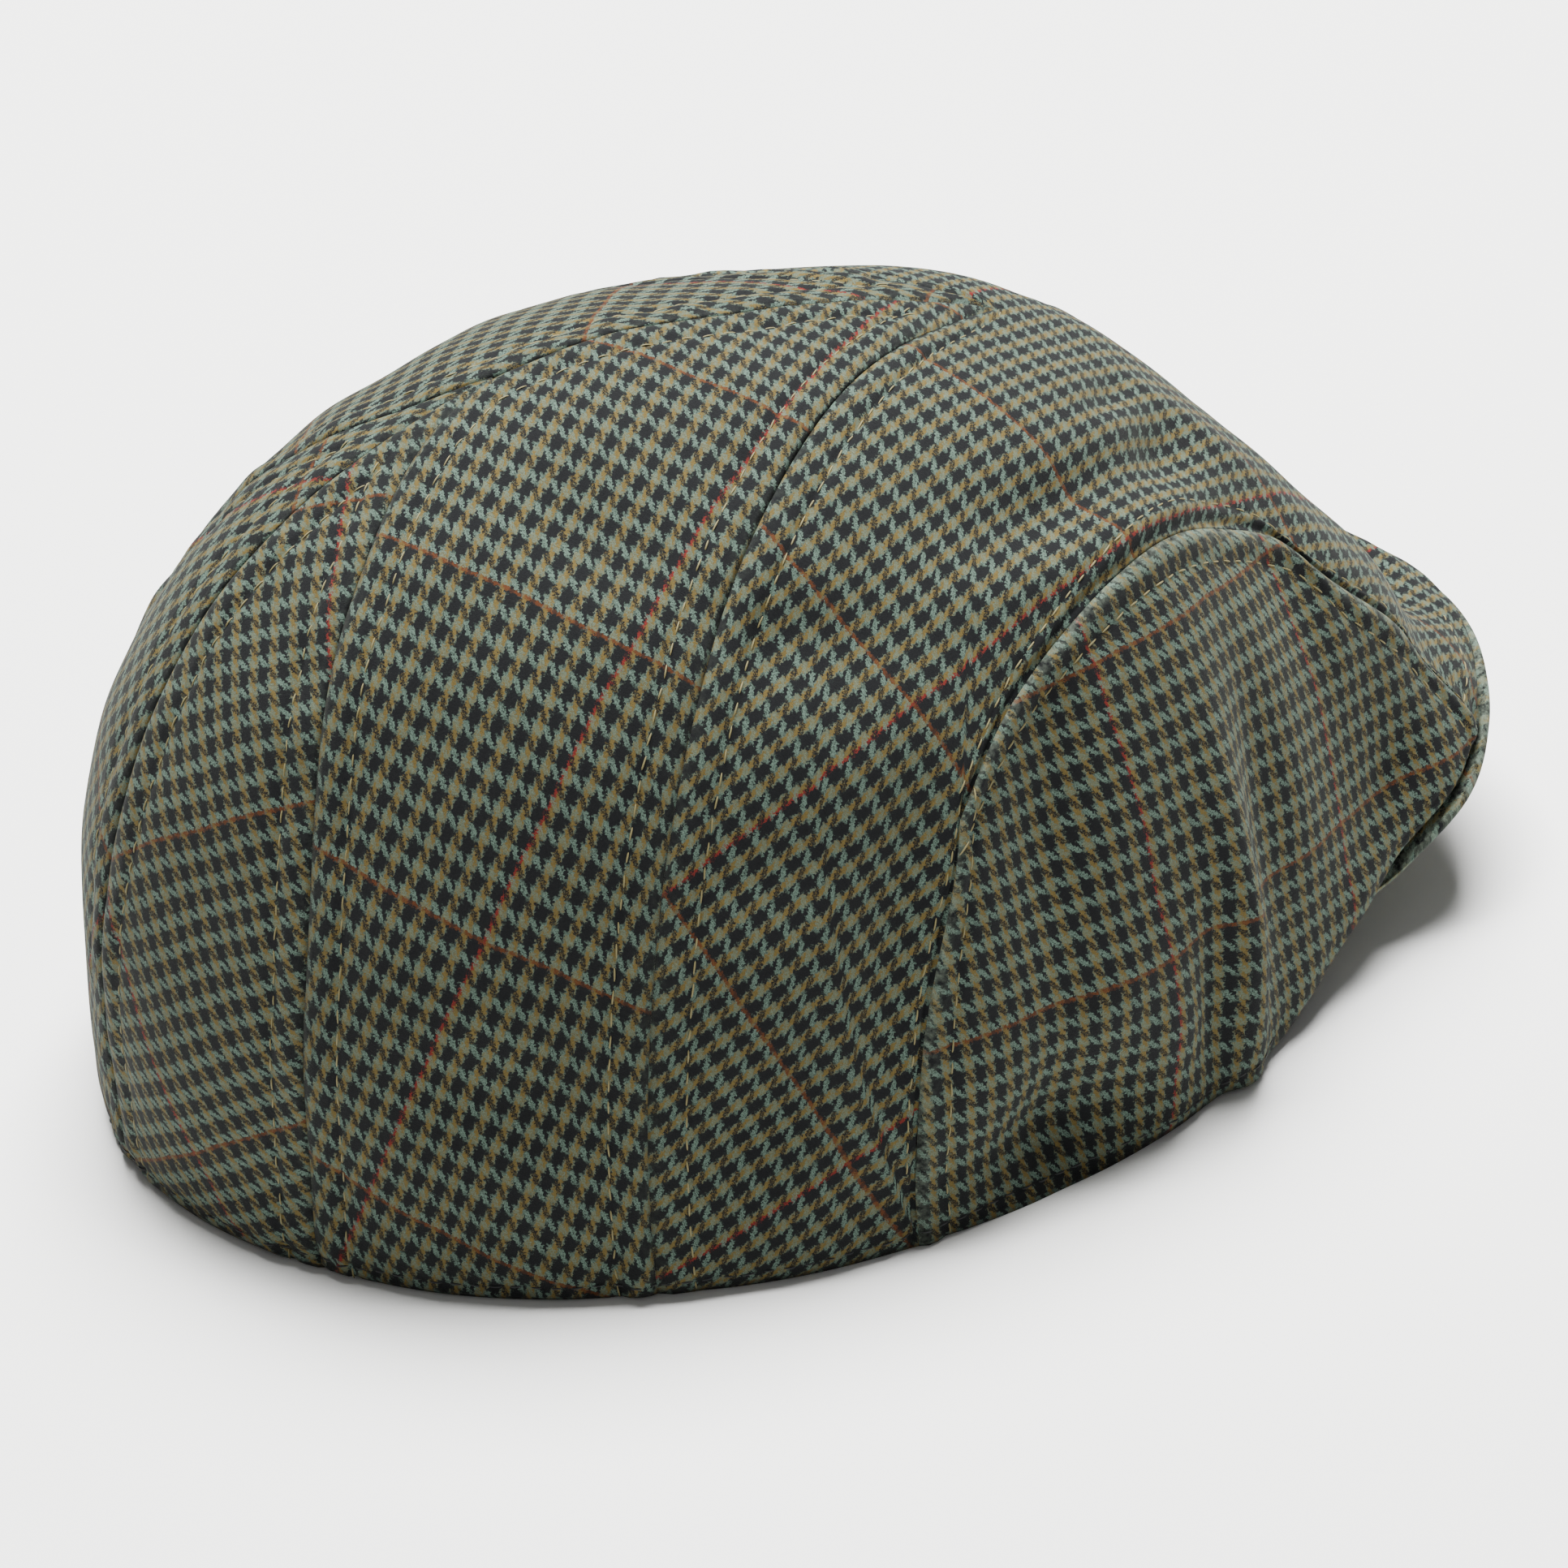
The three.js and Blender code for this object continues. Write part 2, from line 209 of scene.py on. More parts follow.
def between(rows: list, key: str, column: str, at: Array) -> Array:
    """Reads a column smoothly between the rows of a table.

    Args:
        rows: The table, in rising order of key.
        key: The column that is looked up.
        column: The column that is read.
        at: Where it is looked up.

    Returns:
        The column's values, by cubic pieces whose slope at a row follows its two neighbours.
    """
    keys = np.array([getattr(row, key) for row in rows], float)
    values = np.array([getattr(row, column) for row in rows], float)
    slopes = np.zeros(len(keys))
    slopes[1:-1] = (values[2:] - values[:-2]) / (keys[2:] - keys[:-2])
    x = np.clip(at, keys[0], keys[-1])
    i = np.clip(np.searchsorted(keys, x) - 1, 0, len(keys) - 2)
    span, rise = keys[i + 1] - keys[i], values[i + 1] - values[i]
    s = (x - keys[i]) / span
    a, b = slopes[i] * span - rise, rise - slopes[i + 1] * span
    return values[i] + s * rise + s * (1 - s) * ((1 - s) * a + s * b)


def unit(vectors: Array) -> Array:
    """Gives vectors the length one."""
    return vectors / np.maximum(np.linalg.norm(vectors, axis=-1, keepdims=True), TINY)


@dataclass
class Ripple:
    """Gentle unevenness of the cloth: a sum of waves in seeded random directions."""

    wavelength: float
    height: float
    seed: int
    waves: int = 14

    def at(self, points: Array) -> Array:
        """The height of the waves.

        Args:
            points: Places on the cloth, in millimetres.

        Returns:
            The height at each point, in millimetres.
        """
        rng = np.random.default_rng(self.seed)
        ways = unit(rng.normal(size=(self.waves, 3)))
        turns = 2 * math.pi / (self.wavelength * rng.uniform(0.7, 1.6, self.waves))
        phases = rng.uniform(0, 2 * math.pi, self.waves)
        sines = np.sin(points @ (ways * turns[:, None]).T + phases)
        return self.height * sines.sum(-1) / math.sqrt(self.waves)


@dataclass
class Crown:
    """The crown's surface, before it is cut into panels.

    Attributes:
        axis_y: Where the upright line through the seam point stands.
        top: The seam point's height.
        pitch: How far the cloth leans forward at the seam point.
        broad: The cloth's wide, soft unevenness.
        fine: Its small unevenness.
        point_from: The climb at which the normals start to turn into the seam point's own.
        point_over: The climb over which they turn.
        taut: The climb over which the unevenness grows from nothing at the held edge.
    """

    axis_y: float = -42.2
    top: float = 108.5
    pitch: float = 21.5
    broad: Ripple = field(default_factory=lambda: Ripple(42, 0.55, 3))
    fine: Ripple = field(default_factory=lambda: Ripple(17, 0.13, 8))
    point_from: float = 0.985
    point_over: float = 0.01
    taut: float = 0.06

    @staticmethod
    def folded(angle: Array) -> Array:
        """The same angle on the wearer's right, from 0 to 180."""
        return np.abs((angle + 180) % 360 - 180)

    @staticmethod
    def outward(angle: Array) -> Array:
        """A horizontal unit vector away from the seam point's axis."""
        turn = np.radians(angle)
        return np.stack([-np.sin(turn), np.cos(turn), 0 * turn], -1)

    def edge(self, angle: Array) -> Array:
        """The crown's lower edge.

        Args:
            angle: Angles round the cap.

        Returns:
            The edge's point at each angle.
        """
        at = self.folded(angle)
        points = self.outward(angle) * between(EDGE, "angle", "radius", at)[..., None]
        points[..., 1] += self.axis_y
        points[..., 2] = np.maximum(between(EDGE, "angle", "height", at), 0)
        return points

    def smooth(self, angle: Array, climb: Array) -> Array:
        """The surface without its folds.

        Args:
            angle: Angles round the cap.
            climb: Climbs up the cloth, of the same shape.

        Returns:
            Points, each on a cubic curve from the edge to the seam point.
        """
        at, out = self.folded(angle), self.outward(angle)
        lean, pitch = np.radians(between(BODY, "angle", "lean", at)), math.radians(self.pitch)
        rise = between(BODY, "angle", "rise", at)
        reach = between(BODY, "angle", "reach", at)
        foot, peak = self.edge(angle), np.array([0, self.axis_y, self.top])
        start = foot + out * (rise * np.sin(lean))[..., None]
        start[..., 2] += rise * np.cos(lean)
        tilt = np.stack(
            [out[..., 0], out[..., 1] * math.cos(pitch), out[..., 1] * math.sin(pitch)], -1
        )
        end = peak + tilt * reach[..., None]
        t = climb[..., None]
        s = 1 - t
        return s**3 * foot + 3 * s * s * t * start + 3 * s * t * t * end + t**3 * peak

    def normal(self, angle: Array, climb: Array) -> Array:
        """The smooth surface's normals.

        Args:
            angle: Angles round the cap.
            climb: Climbs up the cloth.

        Returns:
            Unit vectors pointing out; next to the seam point all of them are that point's own.
        """
        step_angle, step = 0.5, 0.004
        c = np.clip(climb, step, 1 - step)
        sideways = self.smooth(angle + step_angle, c) - self.smooth(angle - step_angle, c)
        up = self.smooth(angle, c + step) - self.smooth(angle, c - step)
        found = unit(np.cross(sideways, up))
        pitch = math.radians(self.pitch)
        flat = np.array([0, -math.sin(pitch), math.cos(pitch)])
        near = np.clip((climb - self.point_from) / self.point_over, 0, 1)[..., None]
        return unit(found * (1 - near) + flat * near)

    def fold_height(self, angle: Array, climb: Array) -> Array:
        """How far the folds lift the cloth.

        Args:
            angle: Angles round the cap.
            climb: Climbs up the cloth.

        Returns:
            The sum of all the folds at each place, in millimetres.
        """
        at, total = self.folded(angle), 0.0 * climb
        for fold in FOLDS:
            tilt = math.radians(fold.tilt)
            x, y = (at - fold.angle) / fold.wide, (climb - fold.climb) / fold.high
            along = x * math.cos(tilt) + y * math.sin(tilt)
            across = y * math.cos(tilt) - x * math.sin(tilt)
            total += fold.depth * np.exp(-(along**2) - across**2)
        return total

    def surface(self, angle: Array, climb: Array) -> tuple[Array, Array]:
        """The cloth's outer face with its folds.

        Args:
            angle: Angles round the cap.
            climb: Climbs up the cloth.

        Returns:
            The points, and the smooth surface's normals.
        """
        points, normals = self.smooth(angle, climb), self.normal(angle, climb)
        lift = self.fold_height(angle, climb)
        free = np.clip(climb / self.taut, 0, 1)
        lift += (self.broad.at(points) + self.fine.at(points)) * free
        return points + normals * lift[..., None], normals


CROWN = Crown()


# ---------------------------------------------------------------- panels


class Side(Enum):
    """The wearer's side that a piece is on."""

    RIGHT = 1
    LEFT = -1

    @property
    def word(self) -> str:
        """The side's name, as the pieces' names end."""
        return self.name.lower()


class Join(Enum):
    """What a panel's border meets."""

    PLAIN = "plain"  # the two cloths are pressed open and stitched down on each side
    OVER = "over"  # this cloth rolls over its neighbour
    UNDER = "under"  # this cloth goes under its neighbour
    RIM = "rim"  # the border is turned in as the rim's hem
    POINT = "point"  # the border is a point, or too short to shape


@dataclass(frozen=True)
class SeamShape:
    """How the cloth lies beside a seam, in millimetres from it."""

    groove: float
    groove_width: float
    swell: float
    swell_at: float
    swell_width: float
    stitch_at: float
    stitch_dent: float = 0.3
    stitch_width: float = 1.0
    wear: float = 0.35
    groove_at: float = 0.0

    def height(self, away: Array) -> Array:
        """The cloth's height beside the seam.

        Args:
            away: Distances from the seam.

        Returns:
            The height at each distance, from the groove, the swell beside it and the stitches' dent.
        """
        groove = -self.groove * np.exp(-(((away - self.groove_at) / self.groove_width) ** 2))
        swell = self.swell * np.exp(-(((away - self.swell_at) / self.swell_width) ** 2))
        dent = np.exp(-(((away - self.stitch_at) / self.stitch_width) ** 2))
        return groove + swell - self.stitch_dent * dent


SEAM_SHAPES = {
    Join.PLAIN: SeamShape(0.42, 0.6, 0.26, 3.1, 2.2, 6.0, 0.5, 0.75, 0.1),
    Join.OVER: SeamShape(0.25, 0.45, 0.7, 2.2, 2.2, 5.6, wear=0.75),
    Join.UNDER: SeamShape(0.62, 1.15, 0.2, 4.6, 2.0, 5.4, wear=0.0, groove_at=1.5),
    Join.RIM: SeamShape(0.0, 1.0, 0.3, 6.5, 4.0, 2.9, 0.35, 1.0, 0.0),
}
RUB_WIDTH = 1.7  # how far from a seam the nap is rubbed off
PUCKERS = Ripple(9.5, 0.3, 21)  # the small pulls that the stitching makes
PUCKER_FADE = 9  # they fade out over this distance from the seam
PUCKER_START = 1.5  # and fade in over this one
RIM_ROLL = 0.9  # how far the rim's folded edge turns in, and over what distance
ROOM_FOR_STITCHES = 1.6  # stitches end where the panel is narrower than this times their distance
SEAM_REACH = 30  # nearer to a seamed foot than this there is no rim, so no roll


@dataclass
class Grain:
    """How a panel was laid on the cloth before it was cut, by places given as (angle, climb).

    Attributes:
        foot: Where a warp yarn starts that gives the warp's direction.
        head: Where that yarn ends.
        red: A place on a red line, which runs with the warp.
        rust: A place on a rust line, which runs across it.
    """

    foot: tuple[float, float]
    head: tuple[float, float]
    red: tuple[float, float]
    rust: tuple[float, float]


@dataclass
class CrownPanel:
    """A panel of the crown: a grid on the surface between borders.

    Attributes:
        name: The piece's name, without its side.
        side: The side that it is on.
        columns: Steps round the cap.
        rows: Steps up the cloth.
        coarse: How many steps of the grid one step of the flat pattern takes.
        grain: How it lies on the cloth.
        borders: What the left, right, foot and top borders meet.
        gap: The space left between two panels at a seam.
        wall: The thickness of the cloth with its interlining.
    """

    name: str
    side: Side
    columns: int
    rows: int
    coarse: int
    grain: Grain
    borders: dict[str, Join]
    gap: float = 0.01
    wall: float = 2.0

    def place(self, u: Array, v: Array) -> tuple[Array, Array]:
        """The angle and climb of a place on the panel, on the wearer's right."""
        raise NotImplementedError

    def foot_join(self, u: Array) -> Array:
        """True where the foot border is a seam, and not the rim."""
        return np.zeros_like(u, bool)

    @property
    def title(self) -> str:
        """The piece's own name."""
        return f"{self.name}_{self.side.word}"

    def grid(self, columns: int, rows: int) -> tuple[Array, Array]:
        """An even grid on the panel.

        Args:
            columns: Steps round the cap.
            rows: Steps up the cloth.

        Returns:
            Angles and climbs, indexed by column and row.
        """
        across, upward = (np.linspace(0, 1, count + 1) for count in (columns, rows))
        u, v = np.meshgrid(across, upward, indexing="ij")
        angle, climb = self.place(u, v)
        return angle * self.side.value, climb

    @staticmethod
    def away(points: Array, axis: int, from_end: bool) -> Array:
        """The distance along the cloth from a border.

        Args:
            points: The grid's points.
            axis: The grid's axis that is followed, 0 for columns and 1 for rows.
            from_end: Whether it starts at the last column or row.

        Returns:
            A distance for each point of the grid.
        """
        steps = np.linalg.norm(np.diff(points, axis=axis), axis=-1)
        run = np.cumsum(steps, axis=axis)
        run = np.concatenate([np.zeros_like(np.take(run, [0], axis)), run], axis)
        return np.take(run, [-1], axis) - run if from_end else run

    def distances(self, points: Array) -> dict[str, Array]:
        """The distances along the cloth from the borders.

        Args:
            points: The grid's points.

        Returns:
            The distance of each point, by the border's name.
        """
        return {
            "left": self.away(points, 0, False),
            "right": self.away(points, 0, True),
            "foot": self.away(points, 1, False),
            "top": self.away(points, 1, True),
        }

    def shape(self) -> None:
        """Works out the outer face, its normals and the wear of its edges."""
        angle, climb = self.grid(self.columns, self.rows)
        points, normals = CROWN.surface(angle, climb)
        self.measured = self.distances(points)
        lift, worn = np.zeros_like(climb), np.zeros_like(climb)
        puckers = PUCKERS.at(points)
        seamed = self.foot_join(np.linspace(0, 1, self.columns + 1))[:, None]
        joins = sorted(set(self.borders.values()) - {Join.POINT}, key=lambda j: j.value)
        for join in joins:
            met = [self.measured[border] for border, kind in self.borders.items() if kind is join]
            away, seam = np.minimum.reduce(met), SEAM_SHAPES[join]
            if join is Join.UNDER:
                lift += np.where(seamed, seam.height(away), SEAM_SHAPES[Join.RIM].height(away))
            else:
                lift += seam.height(away)
            worn += seam.wear * np.exp(-((away / RUB_WIDTH) ** 2))
            fade = np.exp(-((away / PUCKER_FADE) ** 2))
            lift += puckers * fade * (1 - np.exp(-((away / PUCKER_START) ** 2)))
        above = np.linalg.norm(points - CROWN.edge(angle), axis=-1)
        no_rim = seamed & (self.measured["foot"] < SEAM_REACH)
        roll = np.where(no_rim, 0, RIM_ROLL * np.exp(-((above / RIM_ROLL) ** 2)))
        points = points + normals * (lift - roll)[..., None]
        self.points, self.normals, self.worn = self.inset(points), normals, np.clip(worn, 0, 1)

    def inset(self, points: Array) -> Array:
        """Draws the borders that meet a seam in by half of the gap.

        Args:
            points: The grid's points.

        Returns:
            The points, with those borders moved.
        """
        points = points.copy()
        for border, (edge, inner) in {
            "left": (np.s_[0, :], np.s_[1, :]),
            "right": (np.s_[-1, :], np.s_[-2, :]),
            "top": (np.s_[:, -1], np.s_[:, -2]),
        }.items():
            if self.borders[border] in (Join.PLAIN, Join.OVER, Join.UNDER):
                way = points[inner] - points[edge]
                length = np.linalg.norm(way, axis=-1, keepdims=True)
                most = 0.4 * length  # a short step of the grid isn't turned over
                points[edge] += unit(way) * np.minimum(self.gap / 2, most)
        return points

    def flat_pattern(self) -> Array:
        """Unfolds the panel to its flat pattern, in millimetres, laid along the cloth's grain.

        Returns:
            The place on the cloth of each point of the grid.
        """
        columns, rows = self.columns // self.coarse, self.rows // self.coarse
        angle, climb = self.grid(columns, rows)
        folds = CROWN.fold_height(angle, climb)[..., None]
        points = CROWN.smooth(angle, climb) + CROWN.normal(angle, climb) * folds
        keep = rows if self.borders["top"] is not Join.POINT else rows - 1
        flat = unfold(points[:, : keep + 1], self.side is Side.RIGHT)
        if keep < rows:
            flat = np.concatenate([flat, 2 * flat[:, -1:] - flat[:, -2:-1]], 1)
        grain, table_angle = self.grain, angle * self.side.value
        places = (grain.foot, grain.head, grain.red, grain.rust)
        foot, head, red, rust = (
            flat[near_place(table_angle, climb, place)].mean(0) for place in places
        )
        along = unit(head - foot)
        across = np.array([along[1], -along[0]])
        flat = np.stack([(flat - red) @ across, (flat - rust) @ along], -1)
        return refine(flat, self.columns, self.rows)

    def build(self, finish: "Tweed") -> bpy.types.Object:
        """Makes the panel's mesh, gives it its wall and dresses it.

        Args:
            finish: The tweed that it is cut from.

        Returns:
            The finished piece.
        """
        self.shape()
        cloth = self.flat_pattern()
        facing = self.side is Side.RIGHT
        piece = grid_mesh(f"{self.title}_tweed", self.points, cloth, self.worn, facing)
        piece.data.materials.append(finish.material())
        close_points(piece)
        wall = piece.modifiers.new("cloth wall", "SOLIDIFY")
        wall.thickness, wall.offset, wall.use_even_offset = self.wall * MM, -1, False
        apply_modifiers(piece)
        for vertex in piece.data.vertices:
            vertex.co.z = max(vertex.co.z, 0.0)  # the hem presses flat on the table
        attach(piece, "root")
        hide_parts(self.title)
        return piece

    def line(self, border: str, away: float, first: float = 0.0, last: float = 1.0) -> "Line":
        """A line on the outer face at a distance from a border.

        Args:
            border: The border that it follows.
            away: Its distance from the border, in millimetres.
            first: Where it starts, as a share of the border.
            last: Where it ends.

        Returns:
            The line's points and normals.
        """
        points, normals, run = self.points, self.normals, self.measured[border]
        if border in ("left", "right"):
            points, normals, run = (np.swapaxes(x, 0, 1) for x in (points, normals, run))
        if border in ("right", "top"):
            points, normals, run = points[:, ::-1], normals[:, ::-1], run[:, ::-1]
        count = len(points) - 1
        rows = range(int(round(first * count)), int(round(last * count)) + 1)
        found = []
        for i in rows:
            if run[i, -1] <= away * ROOM_FOR_STITCHES:
                continue
            k = int(np.searchsorted(run[i], away))
            s = (away - run[i, k - 1]) / max(run[i, k] - run[i, k - 1], 1e-9)
            found.append([x[i, k - 1] * (1 - s) + x[i, k] * s for x in (points, normals)])
        made = np.array(found)
        return Line(made[:, 0], unit(made[:, 1]))


@dataclass
class RearGore(CrownPanel):
    """A gore between the centre back and the rear seam, ending in a point on the centre seam.

    Attributes:
        tip: The climb of its point.
        least: The least width that its rows may have, in degrees.
    """

    tip: float = 0.688
    least: float = 0.05

    def place(self, u: Array, v: Array) -> tuple[Array, Array]:
        """The angle and climb of a place on the panel."""
        climb = v * self.tip
        return u * np.maximum(between(SEAMS, "climb", "rear", climb), self.least), climb


@dataclass
class SideGore(CrownPanel):
    """A gore between the rear seam, the centre seam above it, and the front panel."""

    tip: float = 0.998

    def place(self, u: Array, v: Array) -> tuple[Array, Array]:
        """The angle and climb of a place on the panel.

        Args:
            u: The share of the way from the rear seam to the side seam.
            v: The share of the way up to the tip.

        Returns:
            Angles and climbs.
        """
        climb = v * self.tip
        rear = np.maximum(between(SEAMS, "climb", "rear", climb), 0)
        side = between(SEAMS, "climb", "side", climb)
        return rear + u * (side - rear), climb


@dataclass(frozen=True)
class FanRow:
    """Where the front panel's columns arrive at the seam point, by their share of its border."""

    share: float
    angle: float


def temple_top(share: Array) -> tuple[Array, Array]:
    """The angle and climb of a place on the upper part of the temple seam."""
    return between(TEMPLE_TOP, "share", "angle", share), between(TEMPLE_TOP, "share", "climb", share)


@dataclass
class FrontPanel(CrownPanel):
    """The one-piece front panel: a fan round the seam point, from one side seam to the other.

    Attributes:
        shares: Where its lower border leaves the rim, rounds the temple seam's knee and meets its toe.
        fan: Where its columns arrive at the seam point.
    """

    shares: tuple[float, float, float] = (0.09, 0.26, 0.87)
    fan: tuple[FanRow, ...] = (
        FanRow(0, 28.2),
        FanRow(0.09, 33),
        FanRow(0.26, 58),
        FanRow(0.87, 150),
        FanRow(1, 180),
    )

    @property
    def title(self) -> str:
        """The piece's own name."""
        return self.name

    def border(self, share: Array) -> tuple[Array, Array]:
        """The lower border on the right: the rim, the temple seam and the front edge.

        Args:
            share: Shares of the way from the side seam to the centre front.

        Returns:
            The border's angles and climbs.
        """
        rim, knee, toe = self.shares
        first, last = SEAMS[0].side, TEMPLE_TOP[-1].angle
        bend, end = TEMPLE_TOP[0], TEMPLE_SIDE[0].angle
        side_climb = np.clip((share - rim) / (knee - rim), 0, 1) * bend.climb
        top_angle, top_climb = temple_top(np.clip((share - knee) / (toe - knee), 0, 1))
        angle = np.select(
            [share <= rim, share <= knee, share <= toe],
            [
                first + share / rim * (end - first),
                between(TEMPLE_SIDE, "climb", "angle", side_climb),
                top_angle,
            ],
            last + (share - toe) / (1 - toe) * (180 - last),
        )
        climb = np.select(
            [share <= rim, share <= knee, share <= toe],
            [0 * share, side_climb, top_climb],
            0,
        )
        return angle, climb

    def place(self, u: Array, v: Array) -> tuple[Array, Array]:
        """The angle and climb of a place on the panel.

        Args:
            u: The share of the way round, from the right side seam to the left one.
            v: The share of the way up to the seam point.

        Returns:
            Angles and climbs.
        """
        share = 1 - np.abs(1 - 2 * u)
        low_angle, low_climb = self.border(share)
        climb = low_climb + v * (1 - low_climb)
        bend = SEAMS[0].side - SEAMS[-1].side
        turned = (SEAMS[0].side - between(SEAMS, "climb", "side", climb)) / bend
        mix = v + np.maximum(1 - share / self.shares[0], 0) * (turned - v)
        angle = low_angle + mix * (between(list(self.fan), "share", "angle", share) - low_angle)
        return np.where(u <= 0.5, angle, 360 - angle), climb

    def foot_join(self, u: Array) -> Array:
        """True along the temple seams."""
        share = 1 - np.abs(1 - 2 * u)
        return (share > self.shares[0]) & (share < self.shares[2] + 0.01)


@dataclass
class TemplePanel(CrownPanel):
    """The panel between the temple seam and the crown's lower edge."""

    def place(self, u: Array, v: Array) -> tuple[Array, Array]:
        """The angle and climb of a place on the panel.

        Args:
            u: The share of the way from the side seam to the temple seam's toe.
            v: The share of the way up to the temple seam.

        Returns:
            Angles and climbs.
        """
        start, bend, last = TEMPLE_SIDE[0].angle, TEMPLE_TOP[0], TEMPLE_TOP[-1]
        top_angle, top_climb = temple_top(u)
        foot_angle = start + u * (last.angle - start)
        seam = between(TEMPLE_SIDE, "climb", "angle", v * bend.climb)
        bow = (1 - u) * (seam - start - v * (bend.angle - start))
        return foot_angle + v * (top_angle - foot_angle) + bow, v * top_climb


# ---------------------------------------------------------------- meshes


def near_place(angle: Array, climb: Array, place: tuple[float, float]) -> tuple[Array, Array]:
    """The grid's four points nearest to a place on the crown.

    Args:
        angle: The grid's angles.
        climb: The grid's climbs.
        place: The (angle, climb) that is looked for.

    Returns:
        Their columns and rows.
    """
    degrees_of_climb = 110  # a whole climb counts as much as this many degrees
    off = (angle - place[0]) ** 2 + (degrees_of_climb * (climb - place[1])) ** 2
    return np.unravel_index(np.argsort(off, axis=None)[:4], off.shape)


def refine(flat: Array, columns: int, rows: int) -> Array:
    """Reads a coarse grid of flat places at every point of a finer grid, by cubic pieces.

    Args:
        flat: The coarse grid's places.
        columns: The finer grid's columns.
        rows: The finer grid's rows.

    Returns:
        The finer grid's places.
    """
    for axis, count in ((0, columns), (1, rows)):
        coarse = np.linspace(0, 1, flat.shape[axis])
        fine = np.linspace(0, 1, count + 1)
        i = np.clip(np.searchsorted(coarse, fine, side="right") - 1, 0, len(coarse) - 2)
        s = (fine - coarse[i]) / (coarse[i + 1] - coarse[i])
        moved = np.moveaxis(flat, axis, 0)
        slope = np.gradient(moved, axis=0)
        s = s.reshape(-1, 1, 1)
        p, q, a, b = moved[i], moved[i + 1], slope[i], slope[i + 1]
        moved = (
            (1 + 2 * s) * (1 - s) ** 2 * p
            + s * (1 - s) ** 2 * a
            + s * s * (3 - 2 * s) * q
            + s * s * (s - 1) * b
        )
        flat = np.moveaxis(moved, 0, axis)
    return flat


def quads_of(columns: int, rows: int, facing: bool) -> Array:
    """The faces of a grid of points, indexed by column and row.

    Args:
        columns: The grid's columns.
        rows: The grid's rows.
        facing: Whether the columns run so that the faces point out as they are.

    Returns:
        Four point numbers for each face.
    """
    c, r = np.meshgrid(np.arange(columns), np.arange(rows), indexing="ij")
    a = (c * (rows + 1) + r).ravel()
    b = a + rows + 1
    found = np.stack([a, b, b + 1, a + 1], -1)
    return found if facing else found[:, ::-1]


def grid_mesh(name: str, points: Array, cloth: Array, worn: Array, facing: bool) -> bpy.types.Object:
    """Makes an open sheet from a grid of points.

    Args:
        name: The piece's name.
        points: The grid's points, in millimetres.
        cloth: Each point's place on the flat cloth, in millimetres.
        worn: How worn the nap is at each point, from 0 to 1.
        facing: Whether the columns run so that the faces point out as they are.

    Returns:
        A new object with a UV map and the attribute "worn".
    """
    faces = quads_of(points.shape[0] - 1, points.shape[1] - 1, facing)
    mesh = bpy.data.meshes.new(name)
    mesh.from_pydata((points.reshape(-1, 3) * MM).tolist(), [], faces.tolist())
    layer = mesh.uv_layers.new(name="cloth")
    places = cloth.reshape(-1, 2)[faces.ravel()] / UV_MM
    layer.data.foreach_set("uv", places.ravel())
    wear = mesh.attributes.new("worn", "FLOAT", "POINT")
    wear.data.foreach_set("value", worn.ravel().astype(np.float32))
    mesh.polygons.foreach_set("use_smooth", np.ones(len(mesh.polygons), bool))
    mesh.update()
    piece = bpy.data.objects.new(name, mesh)
    bpy.context.scene.collection.objects.link(piece)
    return piece


def select_only(piece: bpy.types.Object) -> None:
    """Makes a piece the only selected object, and the active one.

    Args:
        piece: The object.
    """
    for other in bpy.context.scene.objects:
        other.select_set(False)
    piece.select_set(True)
    bpy.context.view_layer.objects.active = piece


def close_points(piece: bpy.types.Object) -> None:
    """Merges the points that lie on one another, as at a panel's tip.

    Args:
        piece: The object whose mesh is changed.
    """
    select_only(piece)
    bpy.ops.object.mode_set(mode="EDIT")
    bpy.ops.mesh.select_all(action="SELECT")
    bpy.ops.mesh.remove_doubles(threshold=MERGE_M)
    bpy.ops.object.mode_set(mode="OBJECT")


def apply_modifiers(piece: bpy.types.Object) -> None:
    """Applies every modifier of a piece.

    Args:
        piece: The object whose mesh is changed.
    """
    select_only(piece)
    for modifier in list(piece.modifiers):
        bpy.ops.object.modifier_apply(modifier=modifier.name)


def unfold(points: Array, facing: bool) -> Array:
    """Lays a curved grid flat with the least stretch, as a pattern cutter would.

    Args:
        points: The grid's points, in millimetres.
        facing: Whether the columns run so that the faces point out as they are.

    Returns:
        A flat place for each point, in millimetres.
    """
    zero = np.zeros(points.shape[:2])
    sheet = grid_mesh("pattern", points, points[..., :2], zero, facing)
    select_only(sheet)
    bpy.ops.object.mode_set(mode="EDIT")
    bpy.ops.mesh.select_all(action="SELECT")
    bpy.ops.uv.unwrap(method="ANGLE_BASED", margin=0.0)
    bpy.ops.object.mode_set(mode="OBJECT")
    mesh = sheet.data
    corners = np.empty(len(mesh.loops) * 2, np.float32)
    mesh.uv_layers["cloth"].data.foreach_get("uv", corners)
    owners = np.empty(len(mesh.loops), np.int32)
    mesh.loops.foreach_get("vertex_index", owners)
    flat = np.zeros((points.shape[0] * points.shape[1], 2))
    flat[owners] = corners.reshape(-1, 2)
    flat = flat.reshape(*points.shape[:2], 2)
    bpy.data.objects.remove(sheet)
    real = np.linalg.norm(np.diff(points, axis=1), axis=-1)
    drawn = np.linalg.norm(np.diff(flat, axis=1), axis=-1)
    return flat * (real.sum() / drawn.sum())


# ---------------------------------------------------------------- finishes


